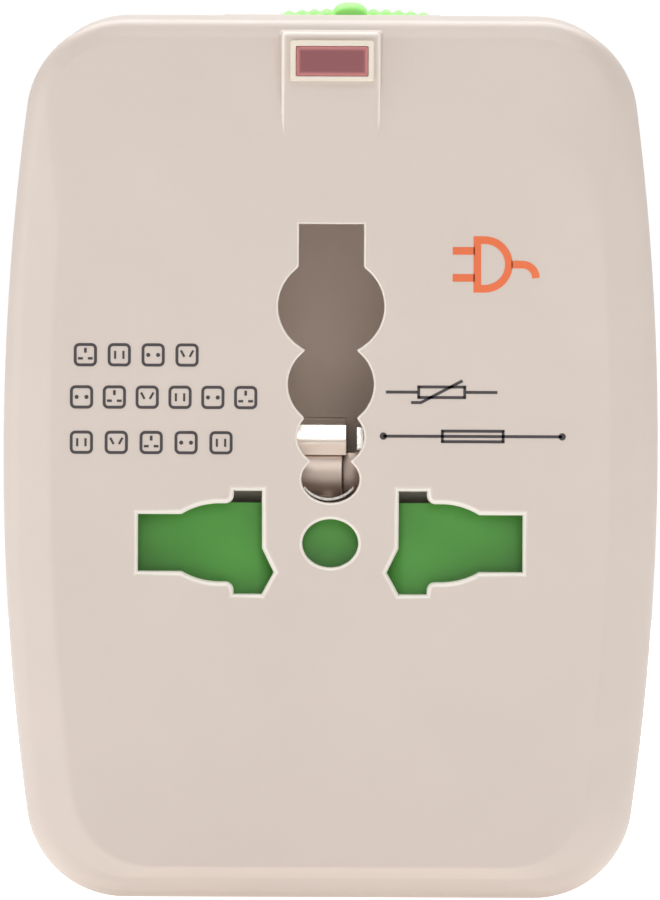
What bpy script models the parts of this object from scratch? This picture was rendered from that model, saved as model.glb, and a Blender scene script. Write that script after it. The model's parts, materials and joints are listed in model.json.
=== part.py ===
"""Universal travel adapter: a socket module with a detachable plug module.

Frame: the adapter stands on its flat bottom. The origin is the centre of the bottom, +Z is up,
-Y is the front with the socket face, and +X is to the right seen from the front.
Sizes are in millimetres, and every mesh is built in metres by the helpers below.
"""
import math

import bmesh
import bpy
from mathutils import Matrix

MM = 0.001
GAP = 0.3                    # clearance between neighbouring pieces

# --- casing ---------------------------------------------------------------------------------
WIDTH = 53.5
HEIGHT = 71.8
DEPTH = 56.0
HALF = WIDTH / 2
SIDE_RADIUS = 217.0          # the sides bulge like a barrel
BULGE_Z = 36.6               # height of the widest place
TOP_CORNER = 8.1
BOTTOM_CORNER = 8.1
WALL = 1.9
CORNER_STEPS = 6
SIDE_STEPS = 6

RIM_Y = -DEPTH / 2           # front of the indicator's frame, the foremost place
FACE_Y = RIM_Y + 0.4         # flat socket face
FACE_BACK_Y = FACE_Y + WALL
FRONT_SPLIT_Y = -15.0        # seam between the front and the rear shell
DOCK_Y = -2.0                # rear face of the socket module
DOCK_INNER_Y = DOCK_Y - 1.8
PLUG_FRONT_Y = DOCK_Y + GAP
REAR_Y = DEPTH / 2           # rear face of the plug module
COVER_INNER_Y = REAR_Y - 1.2
PLUG_WALL_Y = PLUG_FRONT_Y + 1.5

FACE_SIDE_INSET = 4.1        # the flat face is this much narrower than the casing on each side
FACE_TOP_INSET = 10.8        # above it the front slopes back
FACE_BOTTOM_INSET = 2.7
FACE_CORNERS = (9.5, 6.6)    # top and bottom corner radius of the flat face

DOCK_X = 14.0                # tabs that hook the plug module onto the socket module
DOCK_HALF = 2.1
DOCK_Z = (63.9, 67.1)
DOCK_REACH = 3.4
LINK = (-10.0, 46.0)         # X and Z of the earth link between the modules
LINK_HOLE_RADIUS = 1.8

# --- socket openings ------------------------------------------------------------------------
SOCKET_Z = 29.0              # line through the live and neutral openings
EARTH_HALF_WIDTH = 2.64
EARTH_TOP_Z = SOCKET_Z + 26.25
EARTH_HOLES = ((48.33, 4.31), (41.96, 3.51), (37.55, 2.69), (34.45, 2.35))   # centre Z, radius
POLE_OUTER_X = 15.7
POLE_HALF_HEIGHT = 2.26
BULGE_CREST = (9.05, 3.17)   # X and height above SOCKET_Z of the bulge for round pins
BULGE_END_X = 12.15
FLAT_SLOT_X = (5.6, 7.88)
FLAT_SLOT_LOW = 4.11         # reach of the flat slot below and above SOCKET_Z
FLAT_SLOT_HIGH = 4.22
SLANT_START = 0.36           # the slanted corner starts this far below SOCKET_Z
SLANT_TIP = (4.62, 2.32)     # X and depth below SOCKET_Z of its tip
CENTRE_HOLE = (2.28, 2.04)   # half width, half height

# --- indicator ------------------------------------------------------------------------------
TONGUE_HALF = 4.16
TONGUE_TOP_Z = 70.7
RIM_HALF = 3.39
RIM_Z = (66.7, 70.04)
WINDOW_HALF = 2.81
WINDOW_Z = (67.18, 69.55)
WINDOW_BACK_Y = -23.4
BOARD_Y = (-19.0, -17.4)
BOARD_HALF = 15.0
BOARD_Z = (57.8, 69.0)
LAMP_PLACE = (-21.0, 67.0)   # Y, Z
RESISTOR_PLACE = (-20.5, 62.0)
RESISTOR_X = 9.0
VARISTOR_X = -9.5
VARISTOR_Z = 63.0
VARISTOR_Y = (-17.1, -13.6)

# --- earth contact --------------------------------------------------------------------------
WELL_Y = (-25.3, -6.0)       # insulating well behind the earth opening
WELL_FLOOR_Y = -7.2
WELL_HALVES = (3.9, 6.0)     # half width of its narrow and its wide part
WELL_Z = (31.35, 38.0, 57.2)
WELL_WALL = 1.0
EARTH_STRIP_X = (-2.3, 1.0)
EARTH_TAIL_Z = 38.3
EARTH_LEAF_X = (1.9, 2.6)
STRIP = 0.4                  # thickness of the contact strips
STRAP_Y = (-5.5, -5.0)

# --- live and neutral contacts --------------------------------------------------------------
POLE_STRIP = 0.5
POLE_CONTACT_X = (4.7, 16.1)
POLE_CONTACT_Y = (-19.0, -6.4)
POLE_MOUTH = (1.8, 2.6)      # how far the strip's ends lean in and forwards
POLE_CONTACT_Z = (24.9, 33.1)
BUSBAR_Y = (-5.8, -5.3)
BUSBAR_RADII = (3.7, 5.2)
BUSBAR_X = 9.0
BUSBAR_HALF = 1.5

# --- lock latch -----------------------------------------------------------------------------
LATCH_X = (-4.27, 7.89)      # the latch rests at the unlocked end of its track
LATCH_TRAVEL = 3.6
LATCH_Y = (-12.2, -4.8)
LATCH_TOP_Z = 73.1
LATCH_RIDGES = 11
LATCH_SINK = 0.7             # depth of its pad below the casing's top
TRACK_DEPTH = 1.0
STEM_HALF = 2.0
STEM_Y = (-9.7, -7.3)
FOOT_HALF = 4.5
FOOT_Y = (-11.5, -5.5)
FOOT_Z = (67.6, 69.2)

# --- shutter --------------------------------------------------------------------------------
SHUTTER_TOP_Z = 32.3
SHUTTER_NOTCH = (4.3, 31.05)  # half width and floor of the notch for the earth contact
SHUTTER_WING = (16.4, 23.6)  # half width and underside of the wings
SHUTTER_WAIST = 5.5
SHUTTER_FOOT = (3.0, 20.0)   # half width and height of the foot on the spring
SHUTTER_Y = (-25.3, -22.9)
SHUTTER_RAMP = 0.12          # the front leans back by this much for each millimetre up
GUIDE_Y = (-22.6, -22.0)
GUIDE_HALF = 18.3
GUIDE_Z = (13.0, 37.0)
GUIDE_FOOT = (4.0, 3.4)      # half width and underside of the guide's foot
GUIDE_WINDOW_X = (4.6, 16.0)
GUIDE_WINDOW_Z = (24.5, 33.5)
SEAT_HALF = 2.5
SEAT_FRONT_Y = -25.2
SEAT_Z = 4.2
SPRING_Y = -24.15
SPRING_Z = (5.2, 19.7)
SPRING_RADIUS = 0.95
SPRING_WIRE = 0.22
SPRING_TURNS = 8
TURN_STEPS = 10
WIRE_SIDES = 6

# --- flat blades ----------------------------------------------------------------------------
BLADE_X = 6.35
BLADE_Z = 20.0
BLADE_SIZE = (1.5, 6.35)     # thickness, height
BLADE_Y = (-8.0, 14.5)
HUB_RADIUS = 4.4
FLANGE_RADIUS = 5.4
FLANGE_Y = (-5.0, -4.1)
POCKET_RADIUS = 4.6
POCKET_WALL = 0.9
POCKET_END_Y = 14.9
SLEEVE_RADII = (3.7, 4.2)
SLEEVE_Y = (4.0, 13.0)

FUSE_PLACE = (-10.5, 10.0)   # Y, Z
FUSE_HALF = 10.0
CAP_RADIUS = 2.6
TUBE_RADIUS = 2.35
CAP_START = 5.2
CLIP_X = 7.8
CLIP_HALF = 1.5
CLIP_REACH = 3.1

# --- sliding rectangular pins ---------------------------------------------------------------
UK_Z = 34.4
UK_X = 11.1
UK_EARTH_Z = UK_Z + 22.2
UK_PIN = (6.35, 3.95)
UK_EARTH_PIN = (4.0, 7.95)
UK_CARRIAGE_Y = (0.1, 3.5)
UK_TENON = (0.9, 0.6, 1.2)   # a pin's tenon is this much smaller on each side, and this deep
UK_CHAMFER = (0.9, 1.6)
CARRIAGE_HALF = 15.3
CARRIAGE_Z = (32.0, 36.9)
COLUMN_HALF = 4.6
COLUMN_TOP_Z = UK_EARTH_Z + 5.0
ARM_Z = (43.6, 48.4)
RAIL_X = (15.6, 16.1)
RAIL_Y = (0.3, 26.2)
RAIL_Z = (32.4, 36.4)
UK_EARTH_TIP_Y = REAR_Y - 0.1
UK_TIP_Y = UK_EARTH_TIP_Y - 5.0
KNOB_Z = (43.0, 49.0)
KNOB_X = (23.3, 26.3)

# --- folding round pins ---------------------------------------------------------------------
EU_X = 9.5
EU_PIVOT = (24.7, 27.3)      # Y, Z
EU_BAR_RADIUS = 3.2
EU_BAR_HALF = 12.3
EU_REACH = 22.3              # from the pivot to the tips
EU_ROOT_RADIUS = 2.4
EU_TIP_RADIUS = 2.0
AXLE_RADIUS = 1.0
AXLE_HALF = 14.0
EU_FLOOR_Y = 20.5
EU_BLOCK_HALF = 15.0
EU_BLOCK_Z = (3.0, 31.6)
EU_CONTACT_Y = 21.0
EU_CONTACT_Z = (10.5, 30.2)

SCREW_X = 19.5
CASE_SCREW_Z = (9.5, 61.0)
COVER_SCREW_Z = (10.0, 62.5)
BOSS_RADIUS = 2.6
SCREW_RADIUS = 1.1
HEAD_RADIUS = 2.1
HEAD_HEIGHT = 1.3
BEYOND = 1.0                 # how far a cutter reaches past the face it cuts


# --- helpers --------------------------------------------------------------------------------
def clear_scene():
    for item in list(bpy.data.objects):
        bpy.data.objects.remove(item, do_unlink=True)


def material(name, color, roughness, metallic=0.0):
    made = bpy.data.materials.new(name)
    made.use_nodes = True
    shader = made.node_tree.nodes["Principled BSDF"]
    shader.inputs["Base Color"].default_value = (*color, 1.0)
    shader.inputs["Roughness"].default_value = roughness
    shader.inputs["Metallic"].default_value = metallic
    return made


def loft(name, rings):
    """A closed solid through rings of equal length, given as millimetre points, with flat ends."""
    mesh_builder = bmesh.new()
    rows = [[mesh_builder.verts.new([c * MM for c in point]) for point in ring] for ring in rings]
    count = len(rings[0])
    for low, high in zip(rows, rows[1:]):
        for i in range(count):
            j = (i + 1) % count
            mesh_builder.faces.new((low[i], low[j], high[j], high[i]))
    mesh_builder.faces.new(rows[0])
    mesh_builder.faces.new(rows[-1])
    bmesh.ops.recalc_face_normals(mesh_builder, faces=mesh_builder.faces)
    mesh = bpy.data.meshes.new(name)
    mesh_builder.to_mesh(mesh)
    mesh_builder.free()
    made = bpy.data.objects.new(name, mesh)
    bpy.context.scene.collection.objects.link(made)
    return made


def prism(name, outline, y0, y1):
    """An (x, z) outline drawn out along Y."""
    return loft(name, [[(x, y, z) for x, z in outline] for y in (y0, y1)])


def box(name, low, high):
    corners = ((low[0], low[2]), (high[0], low[2]), (high[0], high[2]), (low[0], high[2]))
    return prism(name, corners, low[1], high[1])


def circle(cx, cz, radius, steps=24):
    angles = [2 * math.pi * i / steps for i in range(steps)]
    return [(cx + radius * math.cos(a), cz + radius * math.sin(a)) for a in angles]


def side_of(sign):
    return "right" if sign > 0 else "left"


def turned_y(name, cx, cz, profile, steps=20):
    """A turned piece on an axis along Y; the profile lists (y, radius)."""
    return loft(name, [[(x, y, z) for x, z in circle(cx, cz, r, steps)] for y, r in profile])


def turned_x(name, cy, cz, profile, steps=20):
    """A turned piece on an axis along X; the profile lists (x, radius)."""
    return loft(name, [[(x, y, z) for y, z in circle(cy, cz, r, steps)] for x, r in profile])


def turned_z(name, cx, cy, profile, steps=16):
    """A turned piece on an axis along Z; the profile lists (z, radius)."""
    return loft(name, [[(x, y, z) for x, y in circle(cx, cy, r, steps)] for z, r in profile])


def strip_outline(path, thickness):
    """The outline of a bent strip: the path moved to both sides by half its thickness."""
    sides = ([], [])
    for i, point in enumerate(path):
        before = path[max(i - 1, 0)]
        after = path[min(i + 1, len(path) - 1)]
        normals = []
        for a, b in ((before, point), (point, after)):
            run = (b[0] - a[0], b[1] - a[1])
            length = math.hypot(*run)
            if length > 0:
                normals.append((-run[1] / length, run[0] / length))
        mean = [sum(n[k] for n in normals) / len(normals) for k in (0, 1)]
        reach = thickness / 2 / (mean[0] ** 2 + mean[1] ** 2)
        sides[0].append((point[0] + mean[0] * reach, point[1] + mean[1] * reach))
        sides[1].append((point[0] - mean[0] * reach, point[1] - mean[1] * reach))
    return sides[0] + sides[1][::-1]


def arc(cx, cz, radius, start, end, steps):
    angles = [math.radians(start + (end - start) * i / steps) for i in range(steps + 1)]
    return [(cx + radius * math.cos(a), cz + radius * math.sin(a)) for a in angles]


def combine(target, tool, operation):
    """Cut the target with the tool, or join the tool to it; the tool itself isn't part of the model."""
    step = target.modifiers.new(tool.name, "BOOLEAN")
    step.operation = operation
    step.solver = "EXACT"
    step.object = tool
    tool.hide_render = True
    tool.display_type = "WIRE"


def cut(target, *tools):
    for tool in tools:
        combine(target, tool, "DIFFERENCE")


def join(target, *tools):
    for tool in tools:
        combine(target, tool, "UNION")


def finish(piece, surface, smooth_angle=35):
    piece.data.materials.append(surface)
    piece.data.shade_smooth()
    piece.data.set_sharp_from_angle(angle=math.radians(smooth_angle))
    return piece


def pivot(name, location):
    """An empty on a joint's axis, which carries the pieces that move with it."""
    empty = bpy.data.objects.new(name, None)
    empty.location = [c * MM for c in location]
    empty.empty_display_size = 5 * MM
    bpy.context.scene.collection.objects.link(empty)
    return empty


def carry(empty, *pieces):
    for piece in pieces:
        piece.parent = empty
        piece.matrix_parent_inverse = Matrix.Translation(-empty.location)


# --- casing outline -------------------------------------------------------------------------
def body_outline(side=0.0, top=0.0, bottom=0.0, top_corner=TOP_CORNER, bottom_corner=BOTTOM_CORNER):
    """The casing's barrel-sided outline, moved in by the given amounts."""
    centre_x = HALF - SIDE_RADIUS
    radius = SIDE_RADIUS - side

    def corner(edge_z, r):
        z = edge_z - math.copysign(r, edge_z - BULGE_Z)
        x = centre_x + math.sqrt((radius - r) ** 2 - (z - BULGE_Z) ** 2)
        return x, z, math.degrees(math.atan2(z - BULGE_Z, x - centre_x))

    low_x, low_z, low_angle = corner(bottom, bottom_corner)
    high_x, high_z, high_angle = corner(HEIGHT - top, top_corner)
    right = arc(low_x, low_z, bottom_corner, -90, low_angle, CORNER_STEPS)
    right += arc(centre_x, BULGE_Z, radius, low_angle, high_angle, SIDE_STEPS)[1:-1]
    right += arc(high_x, high_z, top_corner, high_angle, 90, CORNER_STEPS)
    return right + [(-x, z) for x, z in reversed(right)]


def shell_loft(name, sections):
    """A casing solid through sections given as (y, side, top, bottom, top corner, bottom corner)."""
    rings = []
    for y, *insets in sections:
        rings.append([(x, y, z) for x, z in body_outline(*insets)])
    return loft(name, rings)


def even(y, inset, corner_loss=0.6):
    """One casing section moved in by the same amount all round."""
    return (y, inset, inset, inset, TOP_CORNER - corner_loss * inset, BOTTOM_CORNER - corner_loss * inset)


# --- socket module --------------------------------------------------------------------------
def earth_opening(y0, y1):
    """Cutters for the keyhole row that takes the earth pins."""
    low_z = EARTH_HOLES[0][0]
    corners = ((-EARTH_HALF_WIDTH, low_z), (EARTH_HALF_WIDTH, low_z),
               (EARTH_HALF_WIDTH, EARTH_TOP_Z), (-EARTH_HALF_WIDTH, EARTH_TOP_Z))
    tools = [prism("cutter_earth_slot", corners, y0, y1)]
    for number, (z, radius) in enumerate(EARTH_HOLES):
        tools.append(prism(f"cutter_earth_hole_{number}", circle(0, z, radius), y0, y1))
    return tools


def pole_opening(sign, y0, y1):
    """A cutter for the live or neutral opening: rectangular, round, flat and slanted pins share it."""
    crest_x, crest = BULGE_CREST
    rise = crest - POLE_HALF_HEIGHT
    run = BULGE_END_X - crest_x
    radius = (run * run + rise * rise) / (2 * rise)
    spread = math.degrees(math.asin(run / radius))
    inner, outer = FLAT_SLOT_X
    lower = [(inner, -FLAT_SLOT_LOW), (outer, -FLAT_SLOT_LOW), (outer, -crest)]
    lower += arc(crest_x, radius - crest, radius, -90, spread - 90, 5) + [(POLE_OUTER_X, -POLE_HALF_HEIGHT)]
    upper = [(POLE_OUTER_X, POLE_HALF_HEIGHT)] + arc(crest_x, crest - radius, radius, 90 - spread, 90, 5)
    upper += [(outer, crest), (outer, FLAT_SLOT_HIGH), (inner, FLAT_SLOT_HIGH)]
    slant = [(inner, -SLANT_START), (SLANT_TIP[0], -SLANT_TIP[1])]
    outline = [(sign * x, SOCKET_Z + z) for x, z in lower + upper + slant]
    return prism(f"cutter_pole_{side_of(sign)}", outline, y0, y1)


def indicator_tongue():
    """The flat tongue over the sloping top, with the raised rim round the indicator."""
    slope = 0.7
    depth = 3.6
    base_z = HEIGHT - FACE_TOP_INSET - 2
    rings = []
    for y, spread in ((FACE_Y, 0.0), (FACE_Y + depth, slope)):
        half = TONGUE_HALF + spread
        top = TONGUE_TOP_Z + spread
        rings.append([(-half, y, base_z), (half, y, base_z), (half, y, top), (-half, y, top)])
    rim = box("tool_rim", (-RIM_HALF, RIM_Y, RIM_Z[0]), (RIM_HALF, FACE_Y + 1, RIM_Z[1]))
    return loft("tool_tongue", rings), rim


def make_front_shell(ivory):
    shell = shell_loft("front_shell", (
        (FACE_Y, FACE_SIDE_INSET, FACE_TOP_INSET, FACE_BOTTOM_INSET, *FACE_CORNERS),
        (FACE_Y + 1.7, 0.9, 1.2, 0.8, 8.5, 7.8),
        (FACE_Y + 2.6, 0.25, 0.35, 0.25, 8.2, 8.0),
        even(FACE_Y + 3.8, 0.0),
        even(FRONT_SPLIT_Y, 0.0)))
    cavity = shell_loft("cutter_front_cavity", (
        (FACE_BACK_Y, 5.6, 12.3, 4.2, 8.0, 6.0),
        even(FACE_BACK_Y + 3.3, WALL),
        even(FRONT_SPLIT_Y + BEYOND, WALL)))
    cut(shell, cavity)
    join(shell, *indicator_tongue())
    bosses = []
    pilots = []
    for sign in (-1, 1):
        for z in CASE_SCREW_Z:
            tag = f"{side_of(sign)}_{z:.0f}"
            bosses.append(prism(f"tool_boss_{tag}", circle(sign * SCREW_X, z, BOSS_RADIUS, 16),
                                FACE_BACK_Y - 0.5, FRONT_SPLIT_Y))
            pilots.append(prism(f"cutter_pilot_{tag}", circle(sign * SCREW_X, z, SCREW_RADIUS + GAP, 12),
                                FRONT_SPLIT_Y - 6, FRONT_SPLIT_Y + BEYOND))
    join(shell, *bosses)
    cut(shell, *pilots)
    y0, y1 = RIM_Y - BEYOND, FACE_BACK_Y + BEYOND
    cut(shell, *earth_opening(y0, y1), pole_opening(-1, y0, y1), pole_opening(1, y0, y1))
    hole = [(CENTRE_HOLE[0] * x, SOCKET_Z + CENTRE_HOLE[1] * z) for x, z in circle(0, 0, 1, 20)]
    window = box("cutter_window", (-WINDOW_HALF, RIM_Y - BEYOND, WINDOW_Z[0]),
                 (WINDOW_HALF, WINDOW_BACK_Y + BEYOND, WINDOW_Z[1]))
    cut(shell, prism("cutter_centre_hole", hole, y0, y1), window)
    return finish(shell, ivory)


def make_rear_shell(ivory):
    shell = shell_loft("socket_rear_shell", (
        even(FRONT_SPLIT_Y + GAP, 0.0), even(DOCK_Y - 0.6, 0.0), even(DOCK_Y, 0.5)))
    cut(shell, shell_loft("cutter_rear_cavity", (even(FRONT_SPLIT_Y, WALL), even(DOCK_INNER_Y, WALL))))
    wall_start, wall_end = DOCK_INNER_Y - BEYOND, DOCK_Y + BEYOND
    for sign in (-1, 1):
        side = side_of(sign)
        for z in CASE_SCREW_Z:
            place = (sign * SCREW_X, z)
            tag = f"{side}_{z:.0f}"
            join(shell, prism(f"tool_sleeve_{tag}", circle(*place, BOSS_RADIUS + 0.6, 16),
                              FRONT_SPLIT_Y + GAP, DOCK_Y - 0.9))
            cut(shell, prism(f"cutter_sleeve_{tag}", circle(*place, SCREW_RADIUS + GAP, 12),
                             FRONT_SPLIT_Y - BEYOND, wall_end),
                prism(f"cutter_head_{tag}", circle(*place, HEAD_RADIUS + GAP, 16), DOCK_Y - 2.1, wall_end))
        middle = sign * DOCK_X
        half = DOCK_HALF + GAP
        hub = circle(sign * BLADE_X, BLADE_Z, HUB_RADIUS + GAP)
        cut(shell, prism(f"cutter_hub_{side}", hub, wall_start, wall_end),
            box(f"cutter_dock_{side}", (middle - half, wall_start, DOCK_Z[0] - GAP),
                (middle + half, wall_end, DOCK_Z[1] + GAP)))
    cut(shell, prism("cutter_link", circle(*LINK, LINK_HOLE_RADIUS, 12), wall_start, wall_end))
    track = box("cutter_track", (LATCH_X[0] - LATCH_TRAVEL - GAP, LATCH_Y[0] - GAP, HEIGHT - TRACK_DEPTH),
                (LATCH_X[1] + GAP, LATCH_Y[1] + GAP, HEIGHT + BEYOND))
    centre = sum(LATCH_X) / 2
    slot_half = STEM_HALF + GAP
    slot = box("cutter_stem_slot", (centre - LATCH_TRAVEL - slot_half, STEM_Y[0] - GAP, HEIGHT - 4),
               (centre + slot_half, STEM_Y[1] + GAP, HEIGHT))
    cut(shell, track, slot)
    return finish(shell, ivory)


def make_indicator(red, glass, epoxy, ceramic, laminate):
    """The lens, and the indicator's and surge protector's parts on their circuit board."""
    lens = box("indicator_lens", (-WINDOW_HALF + GAP, RIM_Y + 0.25, WINDOW_Z[0] + GAP),
               (WINDOW_HALF - GAP, WINDOW_BACK_Y, WINDOW_Z[1] - GAP))
    finish(lens, red)
    bulb = ((-4.5, 0.6), (-4.1, 1.3), (-3.2, 1.5), (3.6, 1.5), (4.5, 1.1))
    finish(turned_x("neon_lamp", *LAMP_PLACE, bulb, 14), glass)
    plate = box("circuit_board", (-BOARD_HALF, BOARD_Y[0], BOARD_Z[0]), (BOARD_HALF, BOARD_Y[1], BOARD_Z[1]))
    finish(plate, laminate)
    half_shape = ((1.4, 1.0), (1.8, 1.2), (2.9, 1.2), (3.5, 0.9))
    profile = [(RESISTOR_X - t, r) for t, r in reversed(half_shape)]
    profile += [(RESISTOR_X + t, r) for t, r in half_shape]
    finish(turned_x("dropping_resistor", *RESISTOR_PLACE, profile, 14), ceramic)
    front, back = VARISTOR_Y
    disc = ((front, 2.9), (front + 0.5, 3.6), (back - 0.5, 3.6), (back, 2.9))
    finish(turned_y("surge_varistor", VARISTOR_X, VARISTOR_Z, disc), epoxy)


def strip_along_x(name, path, thickness, x0, x1):
    """A bent strip whose (y, z) path is the same all along X."""
    outline = strip_outline(path, thickness)
    return loft(name, [[(x, y, z) for y, z in outline] for x in (x0, x1)])


def well_outline(wall, step_z):
    """The well's stepped outline, moved in by the wall."""
    narrow, wide = WELL_HALVES[0] - wall, WELL_HALVES[1] - wall
    low, high = WELL_Z[0] + 0.6 * wall, WELL_Z[2] - wall
    return ((-narrow, low), (narrow, low), (narrow, step_z), (wide, step_z),
            (wide, high), (-wide, high), (-wide, step_z), (-narrow, step_z))


def make_earth_parts(insulation, plated, brass):
    well = prism("earth_well", well_outline(0, WELL_Z[1]), *WELL_Y)
    inner_outline = well_outline(WELL_WALL, WELL_Z[1] + WELL_WALL)
    inside = prism("cutter_well", inner_outline, WELL_Y[0] - BEYOND, WELL_FLOOR_Y)
    tail_hole = box("cutter_tail", (EARTH_STRIP_X[0] - GAP, WELL_FLOOR_Y - BEYOND, EARTH_TAIL_Z - 0.6),
                    (EARTH_STRIP_X[1] + GAP, WELL_Y[1] + BEYOND, EARTH_TAIL_Z + 0.6))
    cut(well, inside, tail_hole)
    finish(well, insulation)

    front_y = -22.4
    path = [(STRAP_Y[0] - GAP, EARTH_TAIL_Z), (front_y + 0.8, EARTH_TAIL_Z), (front_y, 37.3), (front_y, 36.3)]
    path += arc(-17.9, 34.0, 2.9, 135, 215, 6)
    finish(strip_along_x("earth_contact", path, STRIP, *EARTH_STRIP_X), plated)
    leaf_path = [(-8.0, 34.5), (-20.8, 34.5), (-21.6, 35.3), (-21.8, 37.9)]
    finish(strip_along_x("earth_contact_leaf", leaf_path, STRIP, *EARTH_LEAF_X), plated)
    tail_low = EARTH_TAIL_Z - 1.3
    strap_outline = ((-12.5, 44.5), (-4.0, 44.5), (-4.0, tail_low), (1.0, tail_low),
                     (1.0, 47.5), (-12.5, 47.5))
    finish(prism("earth_strap", strap_outline, *STRAP_Y), brass)
    head_y, shank_y = -4.7, -4.1
    pin_profile = ((head_y, 2.6), (shank_y, 2.6), (shank_y, 1.5), (3.3, 1.5), (4.0, 0.9))
    finish(turned_y("earth_link_pin", *LINK, pin_profile, 14), plated)


def make_pole_contacts(brass):
    """Spring contacts behind the shutter, and the busbars to the blades' hubs."""
    near, far = POLE_CONTACT_X
    front, back = POLE_CONTACT_Y
    lean_x, lean_y = POLE_MOUTH
    path = ((near + lean_x, front - lean_y), (near, front), (near, back),
            (far, back), (far, front), (far - lean_x, front - lean_y))
    for sign, pole in ((-1, "live"), (1, "neutral")):
        outline = strip_outline([(sign * x, y) for x, y in path], POLE_STRIP)
        contact = loft(f"{pole}_contact", [[(x, y, z) for x, y in outline] for z in POLE_CONTACT_Z])
        finish(contact, brass)
        hub = (sign * BLADE_X, BLADE_Z)
        bar = prism(f"{pole}_busbar", circle(*hub, BUSBAR_RADII[1]), *BUSBAR_Y)
        middle = sign * BUSBAR_X
        join(bar, box(f"tool_strip_{pole}", (middle - BUSBAR_HALF, BUSBAR_Y[0], BLADE_Z + 2),
                      (middle + BUSBAR_HALF, BUSBAR_Y[1], POLE_CONTACT_Z[1])))
        cut(bar, prism(f"cutter_ring_{pole}", circle(*hub, BUSBAR_RADII[0]), BUSBAR_Y[0] - BEYOND,
                       BUSBAR_Y[1] + BEYOND))
        finish(bar, brass)


def make_shutter(green, insulation, steel):
    foot_half, foot_z = SHUTTER_FOOT
    right = (SHUTTER_NOTCH, (SHUTTER_NOTCH[0], SHUTTER_TOP_Z), (SHUTTER_WING[0], SHUTTER_TOP_Z), SHUTTER_WING,
             (SHUTTER_WAIST, SHUTTER_WING[1]), (foot_half, foot_z))
    outline = list(right) + [(-x, z) for x, z in reversed(right)]
    front = [(x, SHUTTER_Y[0] + SHUTTER_RAMP * (z - foot_z), z) for x, z in outline]
    back = [(x, SHUTTER_Y[1], z) for x, z in outline]
    shutter = finish(loft("safety_shutter", [front, back]), green)

    front_y, back_y = GUIDE_Y
    guide = box("shutter_guide", (-GUIDE_HALF, front_y, GUIDE_Z[0]), (GUIDE_HALF, back_y, GUIDE_Z[1]))
    half, low = GUIDE_FOOT
    join(guide, box("tool_guide_foot", (-half, front_y, low), (half, back_y, GUIDE_Z[0] + 1)),
         box("tool_spring_seat", (-SEAT_HALF, SEAT_FRONT_Y, SEAT_Z), (SEAT_HALF, back_y, SPRING_Z[0] - GAP)))
    well_half = WELL_HALVES[0] + GAP
    cut(guide, box("cutter_guide_well", (-well_half, front_y - BEYOND, WELL_Z[0] - GAP),
                   (well_half, back_y + BEYOND, GUIDE_Z[1] + BEYOND)))
    for sign in (-1, 1):
        x0, x1 = sorted(sign * x for x in GUIDE_WINDOW_X)
        cut(guide, box(f"cutter_guide_{side_of(sign)}", (x0, front_y - BEYOND, GUIDE_WINDOW_Z[0]),
                       (x1, back_y + BEYOND, GUIDE_WINDOW_Z[1])))
    finish(guide, insulation)

    rings = []
    count = SPRING_TURNS * TURN_STEPS
    low, high = SPRING_Z[0] + SPRING_WIRE, SPRING_Z[1] - SPRING_WIRE
    for i in range(count + 1):
        turn = 2 * math.pi * i / TURN_STEPS
        z = low + (high - low) * i / count
        ring = []
        for across, rise in circle(0, 0, SPRING_WIRE, WIRE_SIDES):
            radius = SPRING_RADIUS + across
            ring.append((radius * math.cos(turn), SPRING_Y + radius * math.sin(turn), z + rise))
        rings.append(ring)
    spring = finish(loft("shutter_spring", rings), steel)
    carry(pivot("shutter_slide_axis", (0, SPRING_Y, foot_z)), shutter, spring)


def make_latch(green):
    low, high = LATCH_X
    centre = (low + high) / 2
    half = (high - low) / 2
    pitch = (high - low) / LATCH_RIDGES
    end_rise = 0.55
    notch = 0.35
    top = []
    for i in range(LATCH_RIDGES):
        middle = low + pitch * (i + 0.5)
        dome = 1 - ((middle - centre) / half) ** 2
        crest = HEIGHT + end_rise + (LATCH_TOP_Z - HEIGHT - end_rise) * dome
        top += [(middle - 0.3 * pitch, crest), (middle + 0.3 * pitch, crest)]
        if i < LATCH_RIDGES - 1:
            top.append((middle + 0.5 * pitch, crest - notch))
    floor = HEIGHT - LATCH_SINK
    shoulder = HEIGHT + 0.3
    outline = [(low, floor), (low, shoulder)] + top + [(high, shoulder), (high, floor)]
    pad = prism("lock_latch", outline, *LATCH_Y)
    join(pad, box("tool_stem", (centre - STEM_HALF, STEM_Y[0], FOOT_Z[0] + 0.4),
                  (centre + STEM_HALF, STEM_Y[1], floor + 0.4)),
         box("tool_foot", (centre - FOOT_HALF, FOOT_Y[0], FOOT_Z[0]),
             (centre + FOOT_HALF, FOOT_Y[1], FOOT_Z[1])))
    finish(pad, green)
    carry(pivot("lock_slide_axis", (centre, sum(LATCH_Y) / 2, HEIGHT)), pad)


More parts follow.
